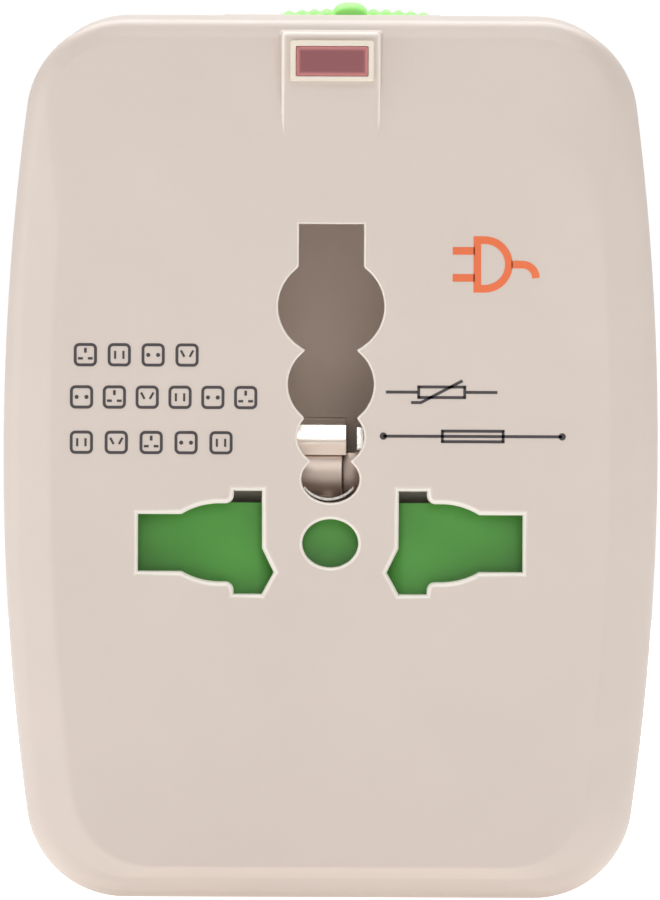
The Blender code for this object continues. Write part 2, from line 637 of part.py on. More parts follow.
def make_blades(green, plated):
    half_x, half_z = BLADE_SIZE[0] / 2, BLADE_SIZE[1] / 2
    root_y, tip_y = BLADE_Y
    chamfer, chamfer_length = 0.5, 1.2
    for sign in (-1, 1):
        side = side_of(sign)
        x = sign * BLADE_X
        hub = turned_y(f"blade_hub_{side}", x, BLADE_Z, (
            (FLANGE_Y[0], FLANGE_RADIUS), (FLANGE_Y[1], FLANGE_RADIUS), (FLANGE_Y[1], HUB_RADIUS),
            (DOCK_Y, HUB_RADIUS)), 24)
        cut(hub, box(f"cutter_blade_{side}", (x - half_x - GAP, FLANGE_Y[0] - BEYOND, BLADE_Z - half_z - GAP),
                     (x + half_x + GAP, DOCK_Y + BEYOND, BLADE_Z + half_z + GAP)))
        finish(hub, green)
        rings = []
        for y, inset in ((root_y, 0.0), (tip_y - chamfer_length, 0.0), (tip_y, chamfer)):
            hx, hz = half_x - inset, half_z - inset
            rings.append([(x - hx, y, BLADE_Z - hz), (x + hx, y, BLADE_Z - hz),
                          (x + hx, y, BLADE_Z + hz), (x - hx, y, BLADE_Z + hz)])
        blade = finish(loft(f"blade_{side}", rings), plated)
        carry(pivot(f"blade_{side}_axis", (x, DOCK_Y, BLADE_Z)), hub, blade)


def make_fuse(ceramic, brass):
    y, z = FUSE_PLACE
    profile = ((-FUSE_HALF, CAP_RADIUS), (-CAP_START, CAP_RADIUS), (-CAP_START, TUBE_RADIUS),
               (CAP_START, TUBE_RADIUS), (CAP_START, CAP_RADIUS), (FUSE_HALF, CAP_RADIUS))
    finish(turned_x("fuse", y, z, profile, 16), ceramic)
    lip, lip_z, bend_z = CLIP_REACH + 0.6, z + 3.0, z + 1.5
    path = [(y - lip, lip_z), (y - CLIP_REACH, bend_z), (y - CLIP_REACH, z - CLIP_REACH),
            (y + CLIP_REACH, z - CLIP_REACH), (y + CLIP_REACH, bend_z), (y + lip, lip_z)]
    for sign in (-1, 1):
        x0, x1 = sign * CLIP_X - CLIP_HALF, sign * CLIP_X + CLIP_HALF
        finish(strip_along_x(f"fuse_clip_{side_of(sign)}", path, STRIP, x0, x1), brass)


def make_screws(prefix, heights, head_y, tip_y, steel):
    """Screws that enter from the rear: the head's outer face is at head_y."""
    profile = ((tip_y, 0.5), (tip_y + 1.2, SCREW_RADIUS), (head_y - HEAD_HEIGHT, SCREW_RADIUS),
               (head_y - HEAD_HEIGHT, HEAD_RADIUS), (head_y - 0.3, HEAD_RADIUS), (head_y, HEAD_RADIUS - 0.4))
    for sign in (-1, 1):
        for level, z in zip(("low", "high"), heights):
            screw = turned_y(f"{prefix}_{side_of(sign)}_{level}", sign * SCREW_X, z, profile, 14)
            finish(screw, steel)


# --- plug module ----------------------------------------------------------------------------
def make_plug_shell(ivory):
    shell = shell_loft("plug_shell", (
        even(PLUG_FRONT_Y, 0.5), even(PLUG_FRONT_Y + 0.6, 0.0), even(REAR_Y - 3.8, 0.0),
        even(COVER_INNER_Y - GAP, 0.7)))
    cut(shell, shell_loft("cutter_plug_cavity", (even(PLUG_WALL_Y, WALL), even(REAR_Y, WALL))))
    start_y = PLUG_FRONT_Y + 0.7
    for sign in (-1, 1):
        side = side_of(sign)
        pocket = circle(sign * BLADE_X, BLADE_Z, POCKET_RADIUS + POCKET_WALL)
        join(shell, prism(f"tool_pocket_{side}", pocket, start_y, POCKET_END_Y + BEYOND))
        middle = sign * DOCK_X
        join(shell, box(f"tool_dock_{side}", (middle - DOCK_HALF, DOCK_Y - DOCK_REACH, DOCK_Z[0]),
                        (middle + DOCK_HALF, start_y, DOCK_Z[1])))
        for z in COVER_SCREW_Z:
            place = (sign * SCREW_X, z)
            tag = f"{side}_{z:.0f}"
            join(shell, prism(f"tool_post_{tag}", circle(*place, BOSS_RADIUS, 16), start_y,
                              COVER_INNER_Y - 0.5))
            cut(shell, prism(f"cutter_post_{tag}", circle(*place, SCREW_RADIUS + GAP, 12), 14, REAR_Y))
    front = PLUG_FRONT_Y - BEYOND
    for sign in (-1, 1):
        pocket = circle(sign * BLADE_X, BLADE_Z, POCKET_RADIUS)
        cut(shell, prism(f"cutter_pocket_{side_of(sign)}", pocket, front, POCKET_END_Y))
    cut(shell, prism("cutter_link_way", circle(*LINK, LINK_HOLE_RADIUS, 14), front, PLUG_WALL_Y + BEYOND),
        box("cutter_knob_slot", (HALF - 7, PLUG_WALL_Y, KNOB_Z[0] - GAP),
            (HALF + 3, REAR_Y, KNOB_Z[1] + GAP)))
    return finish(shell, ivory)


def pin_slot(name, x, z, size, depth_y):
    """A cutter for one rectangular pin's slot in the rear cover."""
    half_x, half_z = size[0] / 2 + GAP, size[1] / 2 + GAP
    return box(name, (x - half_x, depth_y, z - half_z), (x + half_x, REAR_Y + BEYOND, z + half_z))


def make_rear_cover(ivory):
    cover = shell_loft("plug_rear_cover", (
        even(COVER_INNER_Y, 0.8), even(REAR_Y - 0.5, 1.2), even(REAR_Y, 2.4)))
    pivot_y, pivot_z = EU_PIVOT
    join(cover, box("tool_eu_block", (-EU_BLOCK_HALF, EU_FLOOR_Y - 0.9, EU_BLOCK_Z[0]),
                    (EU_BLOCK_HALF, COVER_INNER_Y + 0.5, EU_BLOCK_Z[1])))
    outside_y = REAR_Y + BEYOND
    bar_half, bar_reach = EU_BAR_HALF + 0.4, EU_BAR_RADIUS + GAP
    pin_low, pin_half = pivot_z - EU_REACH - 0.8, EU_ROOT_RADIUS + 0.4
    axle_profile = ((-AXLE_HALF - GAP, AXLE_RADIUS + GAP), (AXLE_HALF + GAP, AXLE_RADIUS + GAP))
    tools = [box("cutter_bar", (-bar_half, EU_FLOOR_Y, pivot_z - bar_reach),
                 (bar_half, outside_y, pivot_z + bar_reach)),
             turned_x("cutter_axle", pivot_y, pivot_z, axle_profile, 16)]
    for sign in (-1, 1):
        side = side_of(sign)
        x = sign * EU_X
        tools.append(box(f"cutter_eu_pin_{side}", (x - pin_half, EU_FLOOR_Y, pin_low),
                         (x + pin_half, outside_y, pivot_z)))
        tools.append(pin_slot(f"cutter_uk_{side}", sign * UK_X, UK_Z, UK_PIN, EU_FLOOR_Y))
        for z in COVER_SCREW_Z:
            head = circle(sign * SCREW_X, z, HEAD_RADIUS + GAP, 16)
            tools.append(prism(f"cutter_cover_head_{side}_{z:.0f}", head, COVER_INNER_Y - BEYOND, outside_y))
    tools.append(pin_slot("cutter_uk_earth", 0.0, UK_EARTH_Z, UK_EARTH_PIN, EU_FLOOR_Y))
    cut(cover, *tools)
    return finish(cover, ivory)


def make_plug_contacts(brass):
    inner, outer = SLEEVE_RADII
    for sign in (-1, 1):
        side = side_of(sign)
        x = sign * BLADE_X
        ring = arc(x, BLADE_Z, outer, 10, 350, 22) + arc(x, BLADE_Z, inner, 350, 10, 22)
        finish(prism(f"blade_sleeve_{side}", ring, *SLEEVE_Y), brass)
        x0, x1 = sorted(sign * x for x in RAIL_X)
        finish(box(f"uk_rail_{side}", (x0, RAIL_Y[0], RAIL_Z[0]), (x1, RAIL_Y[1], RAIL_Z[1])), brass)
        low, high = EU_CONTACT_Z
        path = [(EU_CONTACT_Y + 1.0, low), (EU_CONTACT_Y, low + 1.5), (EU_CONTACT_Y, high)]
        x0, x1 = sign * EU_X - CLIP_HALF, sign * EU_X + CLIP_HALF
        finish(strip_along_x(f"eu_contact_{side}", path, STRIP, x0, x1), brass)
    tube = prism("earth_link_socket", circle(*LINK, 2.4, 16), 0.1, 6.0)
    cut(tube, prism("cutter_link_socket", circle(*LINK, LINK_HOLE_RADIUS, 16), -1, 5.2))
    finish(tube, brass)


def chamfered_pin(name, cx, cz, width, height, root_y, tip_y, surface):
    """A rectangular pin with a chamfered tip and a tenon at its root."""
    side, level, depth = UK_TENON
    inset, length = UK_CHAMFER
    shoulder_y = root_y + depth + 0.2
    rings = []
    for y, dx, dz in ((root_y, side, level), (shoulder_y, side, level), (shoulder_y, 0, 0),
                      (tip_y - length, 0, 0), (tip_y, inset, inset)):
        hx, hz = width / 2 - dx, height / 2 - dz
        rings.append([(cx - hx, y, cz - hz), (cx + hx, y, cz - hz),
                      (cx + hx, y, cz + hz), (cx - hx, y, cz + hz)])
    return finish(loft(name, rings), surface)


def make_uk_pins(insulation, plated, green):
    y0, y1 = UK_CARRIAGE_Y
    low, high = CARRIAGE_Z
    arm_end = KNOB_X[0] - GAP
    outline = ((-CARRIAGE_HALF, low), (CARRIAGE_HALF, low), (CARRIAGE_HALF, high), (COLUMN_HALF, high),
               (COLUMN_HALF, ARM_Z[0]), (arm_end, ARM_Z[0]), (arm_end, ARM_Z[1]), (COLUMN_HALF, ARM_Z[1]),
               (COLUMN_HALF, COLUMN_TOP_Z), (-COLUMN_HALF, COLUMN_TOP_Z), (-COLUMN_HALF, high),
               (-CARRIAGE_HALF, high))
    carriage = prism("uk_carriage", outline, y0, y1)
    side, level, depth = UK_TENON
    root_y = y1 - depth
    places = (("uk_live_pin", -UK_X, UK_Z, UK_PIN, UK_TIP_Y),
              ("uk_neutral_pin", UK_X, UK_Z, UK_PIN, UK_TIP_Y),
              ("uk_earth_pin", 0.0, UK_EARTH_Z, UK_EARTH_PIN, UK_EARTH_TIP_Y))
    pieces = [carriage]
    for name, x, z, (width, height), tip_y in places:
        half_x, half_z = width / 2 - side + GAP, height / 2 - level + GAP
        cut(carriage, box(f"cutter_{name}", (x - half_x, root_y - GAP, z - half_z),
                          (x + half_x, y1 + BEYOND, z + half_z)))
        pieces.append(chamfered_pin(name, x, z, width, height, root_y, tip_y, plated))
    finish(carriage, insulation)
    knob = box("uk_slider_knob", (KNOB_X[0], y0, KNOB_Z[0]), (KNOB_X[1], y1, KNOB_Z[1]))
    groove_half, groove_depth = 0.25, 0.5
    for step in (-1, 0, 1):
        middle = (y0 + y1) / 2 + step
        low_corner = (KNOB_X[1] - groove_depth, middle - groove_half, KNOB_Z[0] - BEYOND)
        high_corner = (KNOB_X[1] + BEYOND, middle + groove_half, KNOB_Z[1] + BEYOND)
        cut(knob, box(f"cutter_knob_{step}", low_corner, high_corner))
    finish(knob, green)
    carry(pivot("uk_slide_axis", (0, y1, UK_Z)), *pieces, knob)


def make_eu_pins(green, plated, steel):
    pivot_y, pivot_z = EU_PIVOT
    half, bore = EU_BAR_HALF, AXLE_RADIUS + GAP
    bar = turned_x("eu_hinge_bar", pivot_y, pivot_z, ((-half, EU_BAR_RADIUS), (half, EU_BAR_RADIUS)), 24)
    cut(bar, turned_x("cutter_bar_hole", pivot_y, pivot_z, ((-half - BEYOND, bore), (half + BEYOND, bore)), 16))
    pieces = [bar]
    tip_z = pivot_z - EU_REACH
    root_z = pivot_z - 2.0
    shoulder_z = tip_z + 9.0
    profile = ((tip_z, 0.9), (tip_z + 0.5, 1.6), (tip_z + 1.4, EU_TIP_RADIUS), (shoulder_z, EU_TIP_RADIUS),
               (shoulder_z + 0.4, EU_ROOT_RADIUS), (root_z, EU_ROOT_RADIUS))
    socket_radius = EU_ROOT_RADIUS + GAP
    for sign in (-1, 1):
        side = side_of(sign)
        x = sign * EU_X
        cut(bar, turned_z(f"cutter_eu_root_{side}", x, pivot_y,
                          ((pivot_z - 4, socket_radius), (root_z + GAP, socket_radius))))
        pieces.append(finish(turned_z(f"eu_pin_{side}", x, pivot_y, profile), plated))
    finish(bar, green)
    carry(pivot("eu_fold_axis", (0, pivot_y, pivot_z)), *pieces)
    axle = turned_x("eu_axle", pivot_y, pivot_z, ((-AXLE_HALF, AXLE_RADIUS), (AXLE_HALF, AXLE_RADIUS)), 14)
    finish(axle, steel)


def build():
    clear_scene()
    ivory = material("ivory_plastic", (0.68, 0.60, 0.54), 0.42)
    green = material("green_plastic", (0.11, 0.45, 0.07), 0.38)
    red = material("red_lens", (0.22, 0.05, 0.05), 0.25)
    insulation = material("insulation", (0.22, 0.17, 0.13), 0.55)
    plated = material("nickel_plate", (0.72, 0.70, 0.67), 0.25, 1.0)
    brass = material("brass", (0.72, 0.55, 0.28), 0.35, 1.0)
    steel = material("steel", (0.55, 0.55, 0.56), 0.35, 1.0)
    glass = material("lamp_glass", (0.85, 0.80, 0.75), 0.08)
    ceramic = material("ceramic", (0.80, 0.78, 0.72), 0.45)
    laminate = material("circuit_laminate", (0.10, 0.25, 0.12), 0.5)
    epoxy = material("varistor_epoxy", (0.05, 0.16, 0.42), 0.4)

    make_front_shell(ivory)
    make_rear_shell(ivory)
    make_indicator(red, glass, epoxy, ceramic, laminate)
    make_earth_parts(insulation, plated, brass)
    make_pole_contacts(brass)
    make_shutter(green, insulation, steel)
    make_latch(green)
    make_blades(green, plated)
    make_fuse(ceramic, brass)
    make_screws("case_screw", CASE_SCREW_Z, DOCK_Y - 0.4, FRONT_SPLIT_Y - 5, steel)

    make_plug_shell(ivory)
    make_rear_cover(ivory)
    make_plug_contacts(brass)
    make_uk_pins(insulation, plated, green)
    make_eu_pins(green, plated, steel)
    make_screws("cover_screw", COVER_SCREW_Z, REAR_Y - 0.2, 16.0, steel)


build()
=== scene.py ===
"""Looks of the universal travel adapter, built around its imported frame.

Frame: +Z up, -Y is the socket face, +X is to the right seen from the front, origin under the middle.
Lengths are in millimetres; the helpers turn them into metres.
"""
import json
import math

import bmesh
import bpy
from mathutils import Matrix, Vector


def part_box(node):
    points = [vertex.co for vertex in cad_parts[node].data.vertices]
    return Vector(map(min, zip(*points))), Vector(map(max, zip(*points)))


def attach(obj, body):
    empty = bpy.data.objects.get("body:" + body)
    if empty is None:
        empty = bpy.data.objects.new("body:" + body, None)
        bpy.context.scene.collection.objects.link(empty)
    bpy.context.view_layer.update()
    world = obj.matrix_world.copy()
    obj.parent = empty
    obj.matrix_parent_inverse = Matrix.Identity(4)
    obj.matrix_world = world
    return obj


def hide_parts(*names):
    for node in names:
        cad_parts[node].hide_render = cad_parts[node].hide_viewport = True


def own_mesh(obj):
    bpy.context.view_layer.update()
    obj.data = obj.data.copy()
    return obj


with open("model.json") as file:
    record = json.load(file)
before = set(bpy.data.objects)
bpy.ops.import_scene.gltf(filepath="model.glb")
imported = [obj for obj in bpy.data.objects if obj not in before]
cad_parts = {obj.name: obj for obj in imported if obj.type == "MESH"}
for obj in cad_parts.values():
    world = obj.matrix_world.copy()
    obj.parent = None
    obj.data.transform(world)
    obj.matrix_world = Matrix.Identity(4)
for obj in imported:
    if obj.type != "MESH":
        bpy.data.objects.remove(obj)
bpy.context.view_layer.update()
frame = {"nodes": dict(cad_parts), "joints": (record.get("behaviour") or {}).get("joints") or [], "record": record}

MM = 0.001
SIDES = (("left", -1), ("right", 1))


def cad_box(node):
    """A CAD node's lowest and highest corner at rest, in millimetres."""
    low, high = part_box(node)
    return [c / MM for c in low], [c / MM for c in high]


def joint_range(name):
    """How far a sliding joint moves, in millimetres."""
    return next(joint["range_m"][1] / MM for joint in frame["joints"] if joint["name"] == name)


# --- driving dimensions ---
SHELL_LOW, SHELL_HIGH = cad_box("front_shell")
REAR_LOW, REAR_HIGH = cad_box("socket_rear_shell")
COVER_LOW, COVER_HIGH = cad_box("plug_rear_cover")
LATCH_LOW, LATCH_HIGH = cad_box("lock_latch")
KNOB_LOW, KNOB_HIGH = cad_box("uk_slider_knob")
SHUTTER_LOW, SHUTTER_HIGH = cad_box("safety_shutter")

HALF = 26.75  # half of the casing's greatest width
HEIGHT = SHELL_HIGH[2]
SIDE_RADIUS = 217.0
BULGE_Z = 36.6
TOP_CORNER = 8.1
BOTTOM_CORNER = 8.1
CORNER_LOSS = 0.6  # a ring moved in by 1 loses this much of its corner radius
WALL = 1.9
THIN_WALL = 1.2  # rear cover, and floor of the earth well
GAP = 0.3  # clearance between neighbouring pieces
BEYOND = 1.0  # how far a cutter reaches past the face it cuts
ARC_STEPS = 22

RIM_Y = SHELL_LOW[1]
FACE_Y = RIM_Y + 0.4  # the window's frame stands out from the flat face
FACE_BACK_Y = FACE_Y + WALL
FRONT_SPLIT_Y = SHELL_HIGH[1]
DOCK_Y = REAR_HIGH[1]
PLUG_FRONT_Y = DOCK_Y + GAP
REAR_Y = COVER_HIGH[1]
COVER_Y = REAR_Y - THIN_WALL
WELL_FLOOR_Y = cad_box("earth_well")[1][1] - THIN_WALL
SEAM_EDGE = ((0.2, 0.0), (0.0, 0.15))  # distance from the seam, and inset, of its rounded edge
DOCK_EDGE = ((0.7, 0.0), (0.25, 0.13), (0.0, 0.5))  # the same for the faces where the modules meet

FACE_INSETS = (4.1, 10.8, 2.7)  # side, top and bottom distance of the flat face from the outline
FACE_CORNERS = (9.5, 6.6)
EDGE_RADIUS = 2.8  # rounding between the sloping bezel and the side wall
EDGE_START = 25.0  # degrees from the face plane where that rounding starts
BEZEL_DROP = 1.25
LIP = 0.5  # width and depth of the rounded lips round the pole openings
EARTH_LIP = 0.2
CENTRE_LIP = 0.32
OPENING_DEPTH = 4.5
CAVITY_FRONT = (5.6, 12.3, 4.2, 8.0, 6.0)  # insets and corner radii of the cavity behind the flat face
CAVITY_SLOPE = 3.3  # depth over which the cavity widens to the side walls

SOCKET_Z = 29.0
EARTH_HALF_WIDTH = 2.66
EARTH_TOP = SOCKET_Z + 26.15
EARTH_LOBES = ((48.4, 4.34, 4.06), (42.05, 3.51, 3.42), (37.75, 2.74, 2.42), (34.3, 2.38, 1.95))
POLE_OUTER = 15.7
POLE_HALF = (2.26, 2.40)  # below and above the socket line
BULGE_X = 9.05
BULGE_CREST = (3.10, 3.29)
BULGE_END = 12.15
SLOT_X = (5.6, 7.88)
SLOT_Z = (-4.11, 4.33)
WAIST = (0.02, -0.36)  # how far the waist lies inside the flat slot, and its height
SLANT = (4.62, -2.32)
CORNER_FILLET = 0.7
CENTRE_HOLE = (2.28, 1.98)
CENTRE_HOLE_Z = SOCKET_Z + 0.06

TONGUE_X = (-4.05, 3.87)
TONGUE_TOP = 70.74
RIM_HALF = 3.42
RIM_Z = (66.82, 70.14)
WINDOW_HALF = 2.97
WINDOW_Z = (67.2, 69.68)

BLADE_X = 6.35
BLADE_Z = 20.0
HUB_HOLE = 4.55  # radius in the socket module's rear
BLADE_POCKET = 4.6  # radius in the plug module
SCREW_X = 19.5
CASE_SCREW_Z = (9.5, 61.0)
COVER_SCREW_Z = (10.0, 62.5)
HEAD_SEAT = 2.3  # radius of the seat round a screw's head
DOCK_X = 14.0  # tabs that hook the plug module onto the socket module
DOCK_HALF = 2.1
DOCK_Z = (63.9, 67.1)
DOCK_REACH = 3.4
LINK = (-10.0, 46.0)  # X and Z of the earth link between the modules
LINK_RADIUS = 1.8
LATCH_MIDDLE = (LATCH_LOW[0] + LATCH_HIGH[0]) / 2
LATCH_STEM = ((-2.0, -9.7, 68.0), (2.0, -7.3, HEIGHT - 0.5))  # corners, with X from the latch's middle
LATCH_FOOT = ((-4.5, -11.5, 67.6), (4.5, -5.5, 69.2))
KNOB_SLOT_X = (20.0, 30.0)
EU_X = 9.5
EU_PIVOT = (24.7, 27.3)  # Y and Z of the folding bar's axis
EU_REACH = 22.3  # from the axis to the tips of the round pins
EU_BAR_HALF = 12.3
EU_BAR_RADIUS = 3.2


# --- mesh helpers ---
def link(name, builder, surface=None):
    """Make an object of the builder's mesh."""
    bmesh.ops.recalc_face_normals(builder, faces=builder.faces)
    mesh = bpy.data.meshes.new(name)
    builder.to_mesh(mesh)
    builder.free()
    if surface:
        mesh.materials.append(surface)
    made = bpy.data.objects.new(name, mesh)
    bpy.context.scene.collection.objects.link(made)
    return made


def add_walls(builder, rings, closed=False):
    """Walls between rings of equal length; when closed, the last ring joins the first."""
    rows = [[builder.verts.new([c * MM for c in point]) for point in ring] for ring in rings]
    count = len(rings[0])
    for low, high in zip(rows, rows[1:] + rows[:1] if closed else rows[1:]):
        for i in range(count):
            j = (i + 1) % count
            builder.faces.new((low[i], low[j], high[j], high[i]))
    return rows


def add_loft(builder, rings):
    rows = add_walls(builder, rings)
    builder.faces.new(rows[0])
    builder.faces.new(rows[-1])


def loft(name, rings, surface=None):
    """A closed solid through rings of equal length."""
    builder = bmesh.new()
    add_loft(builder, rings)
    return link(name, builder, surface)


def at_y(outline, y):
    return [(x, y, z) for x, z in outline]


def at_x(outline, x):
    return [(x, y, z) for y, z in outline]


def at_z(outline, z):
    return [(x, y, z) for x, y in outline]


def rectangle(x0, z0, x1, z1):
    return [(x0, z0), (x1, z0), (x1, z1), (x0, z1)]


def prism(name, outline, y0, y1, surface=None):
    return loft(name, [at_y(outline, y0), at_y(outline, y1)], surface)


def box(name, low, high, surface=None):
    return prism(name, rectangle(low[0], low[2], high[0], high[2]), low[1], high[1], surface)


def arc(cx, cz, radius, start, end, steps):
    angles = [math.radians(start + (end - start) * i / steps) for i in range(steps + 1)]
    return [(cx + radius * math.cos(a), cz + radius * math.sin(a)) for a in angles]


def ellipse(cx, cz, a, b, steps=64):
    turns = [2 * math.pi * i / steps for i in range(steps)]
    return [(cx + a * math.cos(t), cz + b * math.sin(t)) for t in turns]


def rounded_rectangle(x0, z0, x1, z1, radius, steps=6):
    corners = ((x1 - radius, z0 + radius, -90), (x1 - radius, z1 - radius, 0),
               (x0 + radius, z1 - radius, 90), (x0 + radius, z0 + radius, 180))
    outline = []
    for cx, cz, start in corners:
        outline += arc(cx, cz, radius, start, start + 90, steps)
    return outline


def turned(name, axis, place, profile, surface=None, steps=48):
    """A turned piece; the profile lists (position along the axis, radius)."""
    put = {"x": at_x, "y": at_y, "z": at_z}[axis]
    return loft(name, [put(ellipse(*place, radius, radius, steps), t) for t, radius in profile], surface)


def chamfered_bore(name, place, radius, start, face, chamfer=0.2):
    """A round cutter along y whose mouth at the given rear face has a chamfer."""
    past = 0.4
    profile = ((start, radius), (face - chamfer, radius), (face + past, radius + chamfer + past))
    return turned(name, "y", place, profile, IVORY)


def shifted(points, distance, closed=False):
    """An outline or a path moved to the right of its direction, with mitred corners."""
    count = len(points)
    moved = []
    for i, (x, z) in enumerate(points):
        before = points[i - 1] if closed or i > 0 else points[0]
        after = points[(i + 1) % count] if closed or i + 1 < count else points[-1]
        normals = []
        for a, b in ((before, (x, z)), ((x, z), after)):
            run = (b[0] - a[0], b[1] - a[1])
            length = math.hypot(*run)
            if length > 0:
                normals.append((run[1] / length, -run[0] / length))
        mean = [sum(n[k] for n in normals) / len(normals) for k in (0, 1)]
        reach = distance / (mean[0] ** 2 + mean[1] ** 2)
        moved.append((x + mean[0] * reach, z + mean[1] * reach))
    return moved


def offset(outline, distance):
    """A counter-clockwise outline moved outwards."""
    return shifted(outline, distance, closed=True)


def strip_outline(path, thickness):
    """The outline of a bent strip that follows the path."""
    return shifted(path, -thickness / 2) + shifted(path, thickness / 2)[::-1]


def settle(piece):
    """Turn the piece's modifiers into its mesh."""
    graph = bpy.context.evaluated_depsgraph_get()
    mesh = bpy.data.meshes.new_from_object(piece.evaluated_get(graph))
    piece.modifiers.clear()
    piece.data = mesh


def combine(piece, operation, tools):
    for tool in tools:
        step = piece.modifiers.new("combine", "BOOLEAN")
        step.operation = operation
        step.solver = "EXACT"
        step.material_mode = "TRANSFER"
        step.object = tool
    settle(piece)
    for tool in tools:
        bpy.data.objects.remove(tool, do_unlink=True)


def cut(piece, *tools):
    combine(piece, "DIFFERENCE", tools)


def join(piece, *tools):
    combine(piece, "UNION", tools)


def soften(piece, width, segments=3, angle=30, surface=None):
    """Round the piece's edges, which may get a surface of their own."""
    step = piece.modifiers.new("soften", "BEVEL")
    step.width = width * MM
    step.segments = segments
    step.limit_method = "ANGLE"
    step.angle_limit = math.radians(angle)
    if surface:
        piece.data.materials.append(surface)
        step.material = len(piece.data.materials) - 1
    settle(piece)
    return piece


def show(piece, body, slot, *nodes, smooth=35):
    """Shade the piece, make it ride on its body and stand for its CAD nodes."""
    piece.data.shade_smooth()
    piece.data.set_sharp_from_angle(angle=math.radians(smooth))
    step = piece.modifiers.new("even_normals", "WEIGHTED_NORMAL")
    step.keep_sharp = True
    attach(piece, body)
    if nodes:
        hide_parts(*nodes)
    return piece


# --- materials ---
GRAIN = (5200, 0.02)  # fine grain of mouldings: waves per metre, and depth
STREAKS = (2600, 0.006)  # the same for the streaks of rolled metal


def connect(node, inputs):
    """Give inputs of a node a value, or another node's output."""
    for name, value in inputs.items():
        if isinstance(value, bpy.types.NodeSocket):
            node.id_data.links.new(value, node.inputs[name])
        else:
            node.inputs[name].default_value = value


def add_node(tree, kind, inputs=None):
    node = tree.nodes.new("ShaderNode" + kind)
    connect(node, inputs or {})
    return node


def shader_of(name, roughness, metallic=0.0):
    made = bpy.data.materials.new(name)
    made.use_nodes = True
    shader = made.node_tree.nodes["Principled BSDF"]
    connect(shader, {"Roughness": roughness, "Metallic": metallic})
    return made, made.node_tree, shader


def coordinates(tree, kind):
    return add_node(tree, "TexCoord").outputs[kind]


def axes(tree, kind):
    """The X, Y and Z of one kind of coordinates."""
    return add_node(tree, "SeparateXYZ", {"Vector": coordinates(tree, kind)}).outputs


def spread(tree, value, start, end, low=0.0, high=1.0):
    """The value between start and end, taken to low..high."""
    inputs = {"Value": value, "From Min": start, "From Max": end, "To Min": low, "To Max": high}
    return add_node(tree, "MapRange", inputs).outputs["Result"]


def calculate(tree, operation, first, second=0.0):
    node = add_node(tree, "Math", {0: first, 1: second})
    node.operation = operation
    return node.outputs[0]


def noise(tree, scale, detail, stretch=(1, 1, 1)):
    """Noise in the object's own coordinates; the scale is in waves per metre."""
    mapping = add_node(tree, "Mapping", {"Vector": coordinates(tree, "Object"), "Scale": stretch})
    inputs = {"Vector": mapping.outputs["Vector"], "Scale": scale, "Detail": detail}
    return add_node(tree, "TexNoise", inputs).outputs["Fac"]


def ramp(tree, value, low, high, ends=(0.3, 0.7)):
    mixer = add_node(tree, "ValToRGB", {"Fac": value})
    for element, position, color in zip(mixer.color_ramp.elements, ends, (low, high)):
        element.position = position
        element.color = (*color, 1)
    return mixer.outputs["Color"]


def bump(tree, shader, height, strength, distance):
    node = add_node(tree, "Bump", {"Height": height, "Strength": strength, "Distance": distance * MM})
    connect(shader, {"Normal": node.outputs["Normal"]})


def vary_roughness(tree, shader, value, low, high):
    connect(shader, {"Roughness": spread(tree, value, 0.0, 1.0, low, high)})


def plastic(name, color, roughness, variation, grain, specular=0.5):
    """Moulded plastic: faint clouds of colour, uneven gloss and a fine grain."""
    made, tree, shader = shader_of(name, roughness)
    low = [c * (1 - variation) for c in color]
    high = [min(1.0, c * (1 + variation)) for c in color]
    connect(shader, {"Base Color": ramp(tree, noise(tree, 90, 3), low, high), "Specular IOR Level": specular})
    vary_roughness(tree, shader, noise(tree, 700, 5), roughness - 0.07, roughness + 0.07)
    bump(tree, shader, noise(tree, GRAIN[0], 3), grain, GRAIN[1])
    return made


def metal(name, color, roughness, stretch=(1, 1, 1)):
    """Rolled or plated metal: faint streaks along the rolling direction."""
    made, tree, shader = shader_of(name, roughness, 1.0)
    low = [c * 0.94 for c in color]
    connect(shader, {"Base Color": ramp(tree, noise(tree, 160, 3), low, color)})
    streaks = noise(tree, STREAKS[0], 3, stretch)
    vary_roughness(tree, shader, streaks, roughness - 0.06, roughness + 0.08)
    bump(tree, shader, streaks, 0.12, STREAKS[1])
    return made


def let_light_through(made, weight, depth):
    """Make a thin plastic glow a little where the light falls through it."""
    connect(made.node_tree.nodes["Principled BSDF"], {
        "Subsurface Weight": weight, "Subsurface Radius": (1, 1, 1), "Subsurface Scale": depth * MM})


def painted_highlight_material(name, flat, highlight_color, roughness, reach):
    """Polished moulding with a painted highlight: paler where its rounded edges turn away from the face."""
    made, tree, shader = shader_of(name, roughness)
    turn = spread(tree, axes(tree, "Normal")["Y"], -1.0, 0.0)
    connect(shader, {"Base Color": ramp(tree, turn, flat, highlight_color, (0.0, reach))})
    bump(tree, shader, noise(tree, GRAIN[0], 3), 0.05, GRAIN[1])
    return made


def metal_with_painted_light(name, levels, low, high, roughness, stretch):
    """Metal whose colour and gloss change between two heights; the change of colour is painted light: a painted
    reflection on the earth band, painted shade on the leaves.
    """
    made, tree, shader = shader_of(name, roughness[1], 1.0)
    height = axes(tree, "Object")["Z"]
    level = spread(tree, height, levels[0] * MM, levels[1] * MM)
    connect(shader, {"Base Color": ramp(tree, level, low, high, (0.0, 1.0))})
    vary_roughness(tree, shader, level, *roughness)
    bump(tree, shader, noise(tree, STREAKS[0], 3, stretch), 0.12, STREAKS[1])
    return made


